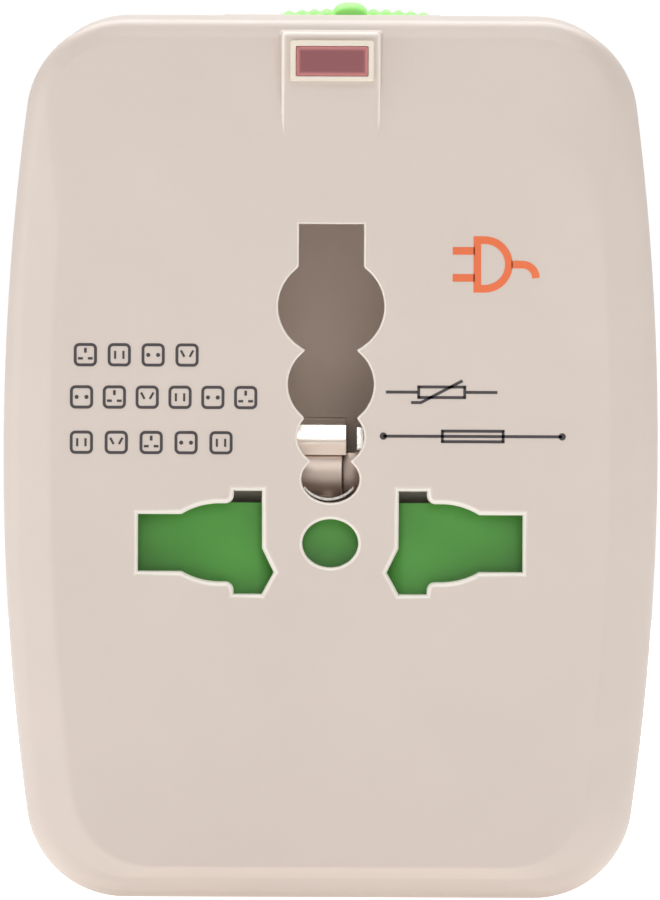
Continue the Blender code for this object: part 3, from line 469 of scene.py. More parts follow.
def lens_material():
    """Dark red translucent window, paler towards its rim: a painted glow of the light that comes in at its edge.
    """
    made, tree, shader = shader_of("red_window", 0.28)
    place = axes(tree, "Object")
    height = calculate(tree, "SUBTRACT", place["Z"], sum(WINDOW_Z) / 2 * MM)
    past_edge = []
    for value, half in ((place["X"], WINDOW_HALF), (height, (WINDOW_Z[1] - WINDOW_Z[0]) / 2)):
        away = calculate(tree, "ABSOLUTE", value)
        past_edge.append(calculate(tree, "SUBTRACT", away, half * MM))
    # Painted glow: the red turns paler within about 0.4 mm of the window's edge.
    rim = spread(tree, calculate(tree, "MAXIMUM", *past_edge), -0.42 * MM, -0.05 * MM)
    color = ramp(tree, rim, (0.262, 0.083, 0.092), (0.68, 0.25, 0.24), (0.0, 1.0))
    connect(shader, {"Base Color": color, "Coat Weight": 0.25, "Coat Roughness": 0.15})
    bump(tree, shader, noise(tree, 1500, 2), 0.06, 0.02)
    return made


IVORY_COLOR = (0.655, 0.565, 0.505)
IVORY = plastic("ivory_moulding", IVORY_COLOR, 0.44, 0.015, 0.10)
CREAM = plastic("cream_frame", (0.80, 0.72, 0.60), 0.4, 0.01, 0.05)
# Painted highlight on the lips of the openings and on the tongue's rounded edges.
IVORY_LIP_PAINTED_HIGHLIGHT = painted_highlight_material("ivory_lip_painted_highlight", IVORY_COLOR, (0.86, 0.80, 0.73), 0.36, 0.10)
IVORY_EDGE_PAINTED_HIGHLIGHT = painted_highlight_material("ivory_edge_painted_highlight", IVORY_COLOR, (0.90, 0.83, 0.76), 0.36, 0.3)
GREEN = plastic("green_moulding", (0.083, 0.355, 0.043), 0.38, 0.03, 0.08)
BRIGHT_GREEN = plastic("green_slider", (0.38, 0.98, 0.23), 0.5, 0.01, 0.08, 0.3)
let_light_through(BRIGHT_GREEN, 0.35, 0.6)
INSULATION = plastic("grey_brown_insulation", (0.92, 0.805, 0.72), 0.5, 0.02, 0.16)
DARK_SLEEVE = plastic("pin_sleeve", (0.035, 0.035, 0.038), 0.42, 0.08, 0.1)
CERAMIC = plastic("glazed_ceramic", (0.78, 0.75, 0.68), 0.28, 0.03, 0.05)
EPOXY = plastic("dipped_epoxy", (0.04, 0.14, 0.38), 0.32, 0.08, 0.1)
LAMINATE = plastic("coated_laminate", (0.06, 0.20, 0.08), 0.4, 0.1, 0.2)
GLASS = plastic("lamp_glass", (0.80, 0.76, 0.70), 0.08, 0.02, 0.02)
INK = plastic("dark_ink", (0.055, 0.045, 0.048), 0.55, 0.1, 0.1)
ORANGE_INK = plastic("orange_ink", (0.82, 0.17, 0.055), 0.5, 0.05, 0.1)
NICKEL = metal("nickel_plate", (0.80, 0.76, 0.71), 0.2, (1, 0.1, 1))
# Painted reflection: below 37 mm the band is tinted warm tan, standing in for the ivory wall it reflects; it is
# also rougher there.
NICKEL_PAINTED_REFLECTION = metal_with_painted_light("nickel_with_painted_reflection", (37.0, 37.8), (0.84, 0.70, 0.60), (0.80, 0.76, 0.71),
                          (0.45, 0.2), (0.1, 1, 1))
LEAF_LEVELS = (32.9, 36.1)  # from the leaf's foot, darkened by painted shade, to its top, painted bright
# Painted shade: the leaf and its edge strip darken from their top down to their foot.
LEAF_PAINTED_SHADE = metal_with_painted_light("leaf_painted_shade", LEAF_LEVELS, (0.20, 0.15, 0.125), (0.86, 0.73, 0.64),
                              (0.42, 0.36), (1, 1, 0.1))
LEAF_EDGE_PAINTED_SHADE = metal_with_painted_light("leaf_edge_painted_shade", LEAF_LEVELS, (0.40, 0.32, 0.28), (0.70, 0.58, 0.51),
                              (0.45, 0.45), (1, 1, 0.1))
BRASS = metal("brass_strip", (0.76, 0.56, 0.27), 0.3, (1, 0.1, 1))
STEEL = metal("bright_steel", (0.58, 0.57, 0.56), 0.3)
LENS = lens_material()

SLOT_MATERIALS = {
    "ivory_plastic": IVORY, "green_plastic": GREEN, "red_lens": LENS, "grey_brown_insulation": INSULATION,
    "nickel_plate": NICKEL, "brass_strip": BRASS, "steel": STEEL, "lamp_glass": GLASS, "ceramic": CERAMIC,
    "varistor_epoxy": EPOXY, "circuit_laminate": LAMINATE,
}


def dress_cad_nodes():
    """Give every CAD node the procedural material of its slot."""
    for part in frame["record"]["subparts"]:
        node = frame["nodes"][part["node"]]
        for slot in node.material_slots:
            slot.material = SLOT_MATERIALS[part["material_slot"]]


# --- casing ---
def body_outline(side=0.0, top=0.0, bottom=0.0, top_corner=TOP_CORNER, bottom_corner=BOTTOM_CORNER):
    """The casing's barrel-sided outline, moved in by the given amounts."""
    centre_x = HALF - SIDE_RADIUS
    radius = SIDE_RADIUS - side

    def corner(edge_z, r):
        z = edge_z - math.copysign(r, edge_z - BULGE_Z)
        x = centre_x + math.sqrt((radius - r) ** 2 - (z - BULGE_Z) ** 2)
        return x, z, math.degrees(math.atan2(z - BULGE_Z, x - centre_x))

    low_x, low_z, low_angle = corner(bottom, bottom_corner)
    high_x, high_z, high_angle = corner(HEIGHT - top, top_corner)
    right = arc(low_x, low_z, bottom_corner, -90, low_angle, ARC_STEPS)
    right += arc(centre_x, BULGE_Z, radius, low_angle, high_angle, ARC_STEPS)[1:-1]
    right += arc(high_x, high_z, top_corner, high_angle, 90, ARC_STEPS)
    return right + [(-x, z) for x, z in reversed(right)]


def even(y, inset):
    """A casing ring moved in by the same amount all round."""
    loss = CORNER_LOSS * inset
    return at_y(body_outline(inset, inset, inset, TOP_CORNER - loss, BOTTOM_CORNER - loss), y)


def mix(a, b, t):
    return a + (b - a) * t


def front_rings():
    """The flat face's outline, the sloping bezel and the rounded edge, from the face backwards."""
    start = math.radians(EDGE_START)
    edge_inset = EDGE_RADIUS * (1 - math.sin(start))
    edge_corners = [corner - CORNER_LOSS * edge_inset for corner in (TOP_CORNER, BOTTOM_CORNER)]
    bezel_steps, edge_steps = 14, 12
    crowding = 1.4  # the rings lie closer together near the flat face
    blend = 0.22  # share of the bezel's width over which its slope begins
    rings = []
    for i in range(bezel_steps + 1):
        s = (i / bezel_steps) ** crowding
        slope = s * s / (2 * blend) if s < blend else s - blend / 2
        insets = [mix(inset, edge_inset, s) for inset in FACE_INSETS]
        corners = [mix(face, edge, s) for face, edge in zip(FACE_CORNERS, edge_corners)]
        rings.append(at_y(body_outline(*insets, *corners), FACE_Y + BEZEL_DROP * slope / (1 - blend / 2)))
    for i in range(1, edge_steps + 1):
        angle = start + (math.pi / 2 - start) * i / edge_steps
        y = FACE_Y + BEZEL_DROP + EDGE_RADIUS * (math.cos(start) - math.cos(angle))
        rings.append(even(y, EDGE_RADIUS * (1 - math.sin(angle))))
    return rings


def smooth_max(a, b, k):
    h = min(1.0, max(0.0, 0.5 + 0.5 * (a - b) / k))
    return mix(b, a, h) + k * h * (1 - h)


def earth_ring(d):
    """The earth opening's outline moved out by d: a slot above a row of merging round holes."""
    last_z, last_a, last_b = EARTH_LOBES[-1]
    top = EARTH_TOP + d
    missed = -10.0  # stands for the width of a hole that doesn't reach a level
    lobe_blend, slot_blend = 0.3, 0.15

    def half_width(z):
        width = missed
        for centre, a, b in EARTH_LOBES:
            t = (z - centre) / (b + d)
            lobe = (a + d) * math.sqrt(1 - t * t) if abs(t) < 1 else missed
            width = smooth_max(width, lobe, lobe_blend)
        if z > EARTH_LOBES[0][0]:
            width = smooth_max(width, EARTH_HALF_WIDTH + d, slot_blend)
        return width

    right = []
    for degrees in range(2, 63, 5):
        angle = math.radians(degrees)
        right.append(((last_a + d) * math.sin(angle), last_z - (last_b + d) * math.cos(angle)))
    start_z = right[-1][1]
    levels = 150
    for i in range(1, levels + 1):
        z = mix(start_z, top, i / levels)
        right.append((half_width(z), z))
    return right + [(-x, z) for x, z in reversed(right)]


def pole_ring(sign, d):
    """The outline of the opening that takes rectangular, round, flat and slanted pins."""
    def half(edge, crest, slot):
        """One edge from the flat pin's slot to the outer end, taken as if it were the upper one."""
        rise = crest - edge
        run = BULGE_END - BULGE_X
        radius = (run * run + rise * rise) / (2 * rise)
        sweep = math.degrees(math.asin(run / radius))
        line = [(SLOT_X[0], slot), (SLOT_X[1], slot)]
        line += arc(SLOT_X[1] + CORNER_FILLET, crest + CORNER_FILLET, CORNER_FILLET, 180, 270, 8)
        line += arc(BULGE_X, crest - radius, radius, 90, 90 - sweep, 10)
        return line + [(POLE_OUTER, edge)]

    lower = [(x, -z) for x, z in half(POLE_HALF[0], BULGE_CREST[0], -SLOT_Z[0])]
    upper = half(POLE_HALF[1], BULGE_CREST[1], SLOT_Z[1])[::-1]
    waist = [(SLOT_X[0] - WAIST[0], WAIST[1]), SLANT]
    outline = [(x, SOCKET_Z + z) for x, z in lower + upper + waist]
    outline = offset(outline, d) if d else outline
    if sign < 0:
        outline = [(-x, z) for x, z in reversed(outline)]
    return outline


def centre_ring(d):
    return ellipse(0, CENTRE_HOLE_Z, CENTRE_HOLE[0] + d, CENTRE_HOLE[1] + d)


def window_ring(d):
    return rounded_rectangle(-WINDOW_HALF - d, WINDOW_Z[0] - d, WINDOW_HALF + d, WINDOW_Z[1] + d, 0.12 + d, 4)


def flared(name, ring, start_y, lip, depth, surface, inward=1, steps=6):
    """A cutter with a rounded mouth; ring(d) is its outline moved out by d."""
    before = 0.6
    rings = [at_y(ring(lip), start_y - inward * before)]
    for i in range(steps + 1):
        angle = math.pi / 2 * i / steps
        out, deep = lip * (1 - math.sin(angle)), lip * (1 - math.cos(angle))
        rings.append(at_y(ring(out), start_y + inward * deep))
    rings.append(at_y(ring(0), start_y + inward * depth))
    return loft(name, rings, surface)


def tongue():
    """The raised flat tongue over the sloping top, with its window frame."""
    low, top = HEIGHT - FACE_INSETS[1] - 0.6, TONGUE_TOP
    left, right = TONGUE_X
    flare = (0.75, 0.45)  # its back is this much wider on each side, and higher
    depth = 3.4
    sink = 0.018  # its lower end lies this far behind the flat face
    front = rounded_rectangle(left, low, right, top, 0.35, 4)
    back = rounded_rectangle(left - flare[0], low, right + flare[0], top + flare[1], 0.5, 4)
    tilted = [(x, FACE_Y + sink * (top - z) / (top - low), z) for x, z in front]
    made = loft("tongue", [tilted, at_y(back, FACE_Y + depth)], IVORY)
    # The rounded edges get the edge material's painted highlight.
    soften(made, 0.34, 3, 30, IVORY_EDGE_PAINTED_HIGHLIGHT)
    rim_outline = rounded_rectangle(-RIM_HALF, RIM_Z[0], RIM_HALF, RIM_Z[1], 0.18, 4)
    rim = prism("rim", rim_outline, RIM_Y, FACE_Y + 1, CREAM)
    soften(rim, 0.11, 3)
    join(made, rim)
    return made


def seam_lip(y0, y1, outer, inner):
    """A ring behind a seam of the casing, so that no light passes through it."""
    ring = loft("seam_lip", [even(y0, outer), even(y1, outer)], IVORY)
    cut(ring, loft("inside", [even(y0 - BEYOND, inner), even(y1 + BEYOND, inner)], IVORY))
    return ring


def make_front_shell():
    edge = [even(FRONT_SPLIT_Y - distance, inset) for distance, inset in SEAM_EDGE]
    shell = loft("front_casing", front_rings() + edge, IVORY)
    front_wall = at_y(body_outline(*CAVITY_FRONT), FACE_BACK_Y)
    walls = [even(y, WALL) for y in (FACE_BACK_Y + CAVITY_SLOPE, FRONT_SPLIT_Y + BEYOND)]
    cavity = loft("cavity", [front_wall, *walls], IVORY)
    join(shell, tongue())
    rings = ((earth_ring, EARTH_LIP), (centre_ring, CENTRE_LIP),
             (lambda d: pole_ring(-1, d), LIP), (lambda d: pole_ring(1, d), LIP))
    # The lips of the openings and the window's mouth get the lip material's painted highlight.
    openings = [flared("opening", ring, FACE_Y, lip, OPENING_DEPTH, IVORY_LIP_PAINTED_HIGHLIGHT) for ring, lip in rings]
    window = flared("window", window_ring, RIM_Y, 0.08, 6.0, IVORY_LIP_PAINTED_HIGHLIGHT)
    cut(shell, cavity, window, *openings)
    show(shell, "socket_module", "ivory_plastic", "front_shell", smooth=32)


def latch_track():
    """Cutters for the latch's open track, and for the slot that its stem slides in."""
    reach = joint_range("lock_slide")
    track = box("track", (LATCH_LOW[0] - reach - GAP, LATCH_LOW[1] - GAP, HEIGHT - 1.0),
                (LATCH_HIGH[0] + GAP, LATCH_HIGH[1] + GAP, HEIGHT + BEYOND))
    low, high = LATCH_STEM
    room = 0.4
    slot = box("slot", (LATCH_MIDDLE + low[0] - reach - room, low[1] - room, HEIGHT - 4),
               (LATCH_MIDDLE + high[0] + room, high[1] + room, HEIGHT))
    return track, slot


def latch_ramp():
    """The low ramp in the casing's top that leads up to the latch."""
    start_y = -17.0
    foot = HEIGHT - 0.6
    profile = ((start_y, foot), (start_y, HEIGHT - 0.05), (LATCH_LOW[1] - 0.5, HEIGHT + 0.32),
               (LATCH_LOW[1] - GAP, HEIGHT + 0.25), (LATCH_LOW[1] - GAP, foot))
    ends = (LATCH_LOW[0] - 4.6, LATCH_HIGH[0] + 1.0)
    return loft("ramp", [at_x(profile, x) for x in ends], IVORY)


def dock_box(sign, y0, y1, room=0.0):
    """One of the tabs that hook the plug module onto the socket module, or the hole for it."""
    x, half = sign * DOCK_X, DOCK_HALF + room
    return box("dock", (x - half, y0, DOCK_Z[0] - room), (x + half, y1, DOCK_Z[1] + room), IVORY)


def make_rear_shell():
    front, back = REAR_LOW[1], DOCK_Y
    wall, inside = back - 1.8, back - 3  # the holes' cutters start inside, before the rear wall
    rings = [even(front + distance, inset) for distance, inset in reversed(SEAM_EDGE)]
    rings += [even(back - distance, inset) for distance, inset in DOCK_EDGE]
    shell = loft("rear_casing", rings, IVORY)
    tools = [loft("cavity", [even(front - BEYOND, WALL), even(wall, WALL)], IVORY)]
    for sign in (-1, 1):
        for z in CASE_SCREW_Z:
            tools.append(chamfered_bore("head", (sign * SCREW_X, z), HEAD_SEAT, back - 1.3, back))
        tools.append(chamfered_bore("hub", (sign * BLADE_X, BLADE_Z), HUB_HOLE, inside, back, 0.25))
        tools.append(dock_box(sign, inside, back + BEYOND, GAP))
    tools.append(chamfered_bore("link", LINK, LINK_RADIUS, inside, back))
    cut(shell, *tools, *latch_track())
    join(shell, latch_ramp(), seam_lip(FRONT_SPLIT_Y - 0.8, front + 0.8, 0.8, 2.4))
    show(shell, "socket_module", "ivory_plastic", "socket_rear_shell")


# --- socket details ---
def make_indicator():
    clearance = 0.02
    half = WINDOW_HALF - clearance
    low, high = WINDOW_Z[0] + clearance, WINDOW_Z[1] - clearance
    front = RIM_Y + 0.12
    rings = []
    for inset, depth in ((0.12, 0.0), (0.04, 0.03), (0.0, 0.1), (0.0, 4.2)):
        outline = rounded_rectangle(-half + inset, low + inset, half - inset, high - inset, 0.1, 4)
        rings.append(at_y(outline, front + depth))
    show(loft("indicator_window", rings, LENS), "socket_module", "red_lens", "indicator_lens", smooth=50)


def make_earth_contact():
    """A plated strip with a bright band, a leaf that curls down to a rim, and a second leaf beside it."""
    def strip(name, path, ends, thickness, surface=NICKEL):
        made = loft(name, [at_x(strip_outline(path, thickness), x) for x in ends], surface)
        return soften(made, 0.08, 2, 40)

    bend = [(-22.3, 37.45), (-22.39, 37.25), (-22.44, 37.05), (-22.45, 36.85), (-22.45, 36.15)]
    # The band's lower end carries the painted reflection.
    band = strip("earth_band", [(-5.8, 38.45), (-21.8, 38.45)] + bend, (-2.85, 1.3), 0.4, NICKEL_PAINTED_REFLECTION)
    curl = (-18.3, 34.6)
    # Painted shade on the leaf and its edge strip: darker towards their foot.
    leaf = strip("earth_leaf", arc(*curl, 4.0, 157, 208, 16), (-2.5, 0.95), 0.3, LEAF_PAINTED_SHADE)
    leaf_edge = strip("earth_leaf_edge", arc(*curl, 3.4, 150, 208, 16), (1.0, 2.5), 0.3, LEAF_EDGE_PAINTED_SHADE)
    side_path = [(-8.0, 36.2), (-21.9, 36.2), (-22.5, 36.7), (-21.75, 38.4)]
    side = strip("earth_side_leaf", side_path, (2.1, 2.75), 0.3)
    collar = box("earth_collar", (-2.58, WELL_FLOOR_Y - 0.15, 37.74),
                 (1.28, WELL_FLOOR_Y + 1.1, 38.86), INSULATION)
    soften(collar, 0.1)
    rim_x = -0.14
    outer = arc(rim_x, 35.05, 2.6, 218, 322, 28)
    inner = arc(rim_x, 35.2, 2.54, 322, 218, 28)
    rim = loft("earth_rim", [at_y(outer, -22.85) + at_y(inner, -22.76), at_y(outer + inner, -20.5)], NICKEL)
    show(band, "socket_module", "nickel_plate", "earth_contact", smooth=40)
    for piece in (leaf, leaf_edge, rim):
        show(piece, "socket_module", "nickel_plate", smooth=40)
    show(collar, "socket_module", "grey_brown_insulation")
    show(side, "socket_module", "nickel_plate", "earth_contact_leaf", smooth=40)


def make_guide_lips():
    """Sloping lips of the guide's windows, which lead a pin in between the contacts behind them."""
    front, back = SHUTTER_HIGH[1] + 0.45, SHUTTER_HIGH[1] + 1.25
    inset = 0.5
    thickness = 0.25
    for side, node in (("left", "live_contact"), ("right", "neutral_contact")):
        low, high = cad_box(node)
        for level, edge, inward in (("low", low[2], 1), ("high", high[2], -1)):
            outline = strip_outline([(back, edge + inward * 0.9), (front, edge - inward * 0.2)], thickness)
            rings = [at_x(outline, x) for x in (low[0] + inset, high[0] - inset)]
            lip = loft(f"guide_lip_{side}_{level}", rings, INSULATION)
            show(lip, "socket_module", "grey_brown_insulation", smooth=50)


def make_shutter():
    """The green shutter: its ramps lean back upwards and outwards, so that a pin pushes it down."""
    low, high = SHUTTER_LOW, SHUTTER_HIGH
    columns, rows = 110, 44
    ramp_x, ramp_z = 5.2, 24.0
    turn_x = (4.2, 6.0)  # between these the ramp also leans back towards the middle
    slopes = (0.055, 0.075, 0.18)  # outwards, upwards and towards the middle

    def front(x, z):
        across = max(0.0, abs(x) - ramp_x)
        up = max(0.0, z - ramp_z)
        inwards = max(0.0, turn_x[1] - abs(x)) * (abs(x) > turn_x[0])
        return low[1] + 0.05 + slopes[0] * across + slopes[1] * up + slopes[2] * inwards

    rings = []
    for j in range(rows + 1):
        z = mix(low[2], high[2], j / rows)
        across = [mix(-high[0], high[0], i / columns) for i in range(columns + 1)]
        rings.append([(x, front(x, z), z) for x in across] + [(high[0], high[1], z), (-high[0], high[1], z)])
    shutter = loft("shutter_ramps", rings, GREEN)
    right = [(4.3, 31.05), (4.3, 32.4), (17, 32.4), (17, 23.6), (5.5, 23.6), (3.0, 19.0)]
    outline = right + [(-x, z) for x, z in reversed(right)]
    combine(shutter, "INTERSECT", [prism("outline", outline, low[1] - BEYOND, high[1] + BEYOND, GREEN)])
    show(shutter, "shutter", "green_plastic", "safety_shutter", smooth=30)


def make_shutter_spring():
    """The coil under the shutter; the whole coil rides with the shutter."""
    low, high = cad_box("shutter_spring")
    x, y = [(low[k] + high[k]) / 2 for k in (0, 1)]
    wire = 0.22
    radius = (high[0] - low[0]) / 2 - wire
    turns, steps, sides = 8, 24, 10
    rings = []
    for i in range(turns * steps + 1):
        angle = 2 * math.pi * i / steps
        climb = min(1.0, max(0.0, (i - steps) / ((turns - 2) * steps)))  # the end turns lie flat
        z = mix(low[2] + wire, high[2] - wire, climb)
        rings.append([(x + (radius + a) * math.cos(angle), y + (radius + a) * math.sin(angle), z + b)
                      for a, b in ellipse(0, 0, wire, wire, sides)])
    spring = loft("coil_spring", rings, STEEL)
    show(spring, "shutter", "steel", "shutter_spring", smooth=60)
    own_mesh(spring)


def latch_crest():
    """The latch's upper outline along x: ridges on a low dome, with a round thumb stop in the middle."""
    x0, x1 = LATCH_LOW[0], LATCH_HIGH[0]
    peak = LATCH_HIGH[2]
    centre = LATCH_MIDDLE - 0.35
    dome_half = (x1 - x0) / 2 + 0.4
    stop_half, stop_foot, stop_power = 1.4, HEIGHT + 0.45, 2.6
    ridge, pitch = 0.22, 1.04
    steps = 200
    crest = []
    for i in range(steps + 1):
        x = mix(x0, x1, i / steps)
        away = abs(x - centre)
        height = HEIGHT + 0.25 + 0.35 * max(0.0, 1 - (away / dome_half) ** 2)
        if away > stop_half:
            height += ridge * (0.5 + 0.5 * math.cos(2 * math.pi * (away - stop_half - pitch / 2) / pitch))
        if away < stop_half:
            round_top = math.sqrt(1 - (away / stop_half) ** stop_power)
            height = max(height, mix(stop_foot, peak, round_top))
        crest.append((x, min(height, peak)))
    return crest


def make_latch():
    """The slide lock: a ridged pad that is rounded towards its long sides, on a stem and a foot."""
    x0, x1 = LATCH_LOW[0], LATCH_HIGH[0]
    floor = HEIGHT - 0.7
    outline = [(x0, floor)] + latch_crest() + [(x1, floor)]
    edge = 1.8  # width of the rounding
    lower, shorter = 0.6, 0.3  # what the pad loses in height and at each end
    depths = (0.0, 0.05, 0.15, 0.35, 0.7, 1.2, edge)
    slices = [(LATCH_LOW[1] + depth, depth) for depth in depths]
    slices += [(LATCH_HIGH[1] - depth, depth) for depth in reversed(depths)]
    rings = []
    for y, depth in slices:
        turn = 1 - math.sqrt(1 - (1 - depth / edge) ** 2)
        left, right = x0 + shorter * turn, x1 - shorter * turn
        rings.append([(min(max(x, left), right), y, max(floor, z - lower * turn)) for x, z in outline])
    pad = loft("lock_slider", rings, BRIGHT_GREEN)
    inside = [box("inside", *[(LATCH_MIDDLE + x, y, z) for x, y, z in corners], BRIGHT_GREEN)
              for corners in (LATCH_STEM, LATCH_FOOT)]
    join(pad, *inside)
    show(pad, "latch", "green_plastic", "lock_latch", smooth=40)


# --- printed pictograms ---
PRINT_LINE = 0.24
PRINT_SIZE = 1.9  # height of a row of pictograms
PRINT_Y = (FACE_Y - 0.025, FACE_Y + 0.02)
LEFT_ROWS = ((-21.0, -10.8, 44.4, "bfrs"), (-21.3, -6.0, 40.95, "rbsfrb"), (-21.3, -8.0, 37.25, "fsbrf"))
FUSE_ROW = (4.3, 18.9, 37.85)  # start and end in X, and height
SURGE_ROW = (4.5, 13.6, 41.45)
PIN_PATTERNS = {  # X, Z, half width, half height and turn of each pin
    "b": ((0.0, 0.36, 0.11, 0.2, 0.0), (-0.4, -0.3, 0.2, 0.1, 0.0), (0.4, -0.3, 0.2, 0.1, 0.0)),
    "f": ((-0.34, 0.0, 0.09, 0.33, 0.0), (0.34, 0.0, 0.09, 0.33, 0.0)),
    "s": ((-0.36, 0.12, 0.09, 0.3, 0.5), (0.36, 0.12, 0.09, 0.3, -0.5)),
}


def add_film(builder, outline):
    add_loft(builder, [at_y(outline, y) for y in PRINT_Y])


def add_stroke(builder, path, width=PRINT_LINE):
    add_film(builder, strip_outline(path, width))


def add_disc(builder, x, z, radius, steps):
    add_film(builder, ellipse(x, z, radius, radius, steps))


def add_frame(builder, outline, width=PRINT_LINE):
    """A closed line of the given width just inside the outline."""
    inner = offset(outline, -width)
    front, back = PRINT_Y
    rings = [at_y(inner, front), at_y(outline, front), at_y(outline, back), at_y(inner, back)]
    add_walls(builder, rings, closed=True)


def add_pins(builder, kind, x, z):
    """The pin pattern of one standard: b bars, r round, f flat or s slanted."""
    if kind == "r":
        for sign in (-1, 1):
            add_disc(builder, x + sign * 0.4, z, 0.17, 16)
        return
    for dx, dz, wide, tall, turn in PIN_PATTERNS[kind]:
        c, s = math.cos(turn), math.sin(turn)
        corners = rectangle(-wide, -tall, wide, tall)
        add_film(builder, [(x + dx + a * c - b * s, z + dz + a * s + b * c) for a, b in corners])


def show_print(name, builder, ink):
    show(link(name, builder, ink), "socket_module", "ivory_plastic", smooth=30)


def make_prints():
    """Plain pictograms of pin patterns, a surge arrester and a fuse: no lettering."""
    dark = bmesh.new()
    half = PRINT_SIZE / 2
    for start, end, z, kinds in LEFT_ROWS:
        for place, kind in enumerate(kinds):
            x = mix(start + half, end - half, place / (len(kinds) - 1))
            add_frame(dark, rounded_rectangle(x - half, z - half, x + half, z + half, 0.45))
            add_pins(dark, kind, x, z)
    symbol_half = 0.55
    overlap = 0.05
    for (x0, x1, z), body in ((SURGE_ROW, 2.0), (FUSE_ROW, 2.6)):
        left, right = (x0 + x1) / 2 - body, (x0 + x1) / 2 + body
        add_frame(dark, rounded_rectangle(left, z - symbol_half, right, z + symbol_half, 0.06))
        add_stroke(dark, [(x0, z), (left + overlap, z)])
        add_stroke(dark, [(right - overlap, z), (x1, z)])
    x0, x1, z = SURGE_ROW
    middle = (x0 + x1) / 2
    add_stroke(dark, [(middle - 2.5, z - 0.85), (middle - 1.7, z - 0.85), (middle + 1.7, z + 0.95)])
    x0, x1, z = FUSE_ROW
    add_stroke(dark, [(x0 + 4.75, z), (x1 - 4.75, z)])
    for x in (x0, x1):
        add_disc(dark, x, z, 0.3, 20)
    show_print("pictogram_print", dark, INK)


def make_plug_print():
    """A plain orange outline of a plug."""
    orange = bmesh.new()
    x, z, radius = 12.5, 51.9, 2.3
    thick = 0.62
    flat_x, prong = x - 0.9, 1.1
    outline = [(flat_x, z - radius)] + arc(x, z, radius, -90, 90, 20) + [(flat_x, z + radius)]
    add_frame(orange, outline, thick)
    for side in (-1, 1):
        add_stroke(orange, [(9.9, z + side * prong), (11.7, z + side * prong)], thick)
    add_stroke(orange, [(14.7, z)] + arc(15.6, z - 1.1, 1.1, 90, 0, 8), thick)
    show_print("plug_print", orange, ORANGE_INK)


def make_screw(node, x, z, body):
    """A pan-head screw with a cross recess."""
    low, high = cad_box(node)
    top, tip = high[1], low[1]
    core, crest, pitch = 0.85, 1.1, 0.8
    profile = [(tip, 0.3), (tip + 1.4, core)]
    for k in range(int((top - tip - 3.1) / pitch)):
        start = tip + 1.6 + pitch * k
        profile += [(start, core), (start + 0.35, crest), (start + 0.45, crest), (start + 0.78, core)]
    head = ((1.3, 0.95), (1.28, 2.05), (0.6, 2.1), (0.25, 1.9), (0.06, 1.4), (0.0, 0.9))
    profile += [(top - depth, radius) for depth, radius in head]
    screw = turned(f"{node}_detail", "y", (x, z), profile, STEEL, 32)
    arm, half, taper = 1.15, 0.26, 0.45
    tools = []
    for flat in (True, False):
        rings = []
        for y, keep in ((top + 0.1, 1.0), (top - 0.75, taper)):
            wide, tall = (arm * keep, half) if flat else (half, arm * keep)
            rings.append(at_y(rectangle(x - wide, z - tall, x + wide, z + tall), y))
        tools.append(loft("recess", rings, STEEL))
    cut(screw, *tools)
    show(screw, body, "steel", node, smooth=40)


def make_screws():
    for side, sign in SIDES:
        for level, case_z, cover_z in zip(("low", "high"), CASE_SCREW_Z, COVER_SCREW_Z):
            make_screw(f"case_screw_{side}_{level}", sign * SCREW_X, case_z, "socket_module")
            make_screw(f"cover_screw_{side}_{level}", sign * SCREW_X, cover_z, "plug_module")


def make_blade(side, sign):
    """One flat pin with a locating hole, on a swivel hub with a pointer groove."""
    body = f"{side}_blade"
    low, high = cad_box(f"blade_{side}")
    x = sign * BLADE_X
    half_x, half_z = [(high[k] - low[k]) / 2 for k in (0, 2)]
    z0, z1 = BLADE_Z - half_z, BLADE_Z + half_z
    root, tip = low[1], high[1]
    corner, hole = 1.6, 1.55
    outline = [(root, z0), (tip - corner, z0)]
    outline += arc(tip - corner, z0 + corner, corner, -90, 0, 8)
    outline += arc(tip - corner, z1 - corner, corner, 0, 90, 8) + [(root, z1)]
    blade = loft(f"flat_pin_{side}", [at_x(outline, a) for a in (low[0], high[0])], NICKEL)
    soften(blade, 0.22, 3)
    hole_ends = ((low[0] - BEYOND, hole), (high[0] + BEYOND, hole))
    cut(blade, turned("hole", "x", (tip - 4.2, BLADE_Z), hole_ends, NICKEL, 32))
    show(blade, body, "nickel_plate", f"blade_{side}")

    front, back = [place[1] for place in cad_box(f"blade_hub_{side}")]
    flange, radius, thick = 5.4, 4.4, 0.9
    profile = ((front, flange - 0.1), (front + 0.1, flange), (front + thick, flange), (front + thick, radius),
               (back - 0.2, radius), (back - 0.05, radius - 0.1), (back, radius - 0.3))
    hub = turned(f"swivel_hub_{side}", "y", (x, BLADE_Z), profile, GREEN, 64)
    room, groove = 0.05, 0.25
    slot = box("slot", (x - half_x - room, back - 6, z0 - room),
               (x + half_x + room, back + BEYOND, z1 + room), GREEN)
    pointer = box("pointer", (x - groove, back - groove, z1 + groove),
                  (x + groove, back + BEYOND, BLADE_Z + 4.3), GREEN)
    cut(hub, slot, pointer)
    show(hub, body, "green_plastic", f"blade_hub_{side}")


# --- plug module ---
REAR_ROUND = (3.8, 2.4)  # depth and inset of the rear edge's rounding
UK_PINS = ("uk_live_pin", "uk_neutral_pin", "uk_earth_pin")


def rear_edge(angle):
    """The ring of the rear rounding at the given angle: 0 is the side wall, 90 the rear face."""
    a = math.radians(angle)
    return even(REAR_Y - REAR_ROUND[0] * (1 - math.sin(a)), REAR_ROUND[1] * (1 - math.cos(a)))


def edge_angle(y):
    return math.degrees(math.asin(1 - (REAR_Y - y) / REAR_ROUND[0]))


def knob_slot(front_y):
    """A cutter for the slot that the thumb knob slides in."""
    low = (KNOB_SLOT_X[0], front_y, KNOB_LOW[2] - GAP)
    return box("slot", low, (KNOB_SLOT_X[1], REAR_Y, KNOB_HIGH[2] + GAP), IVORY)


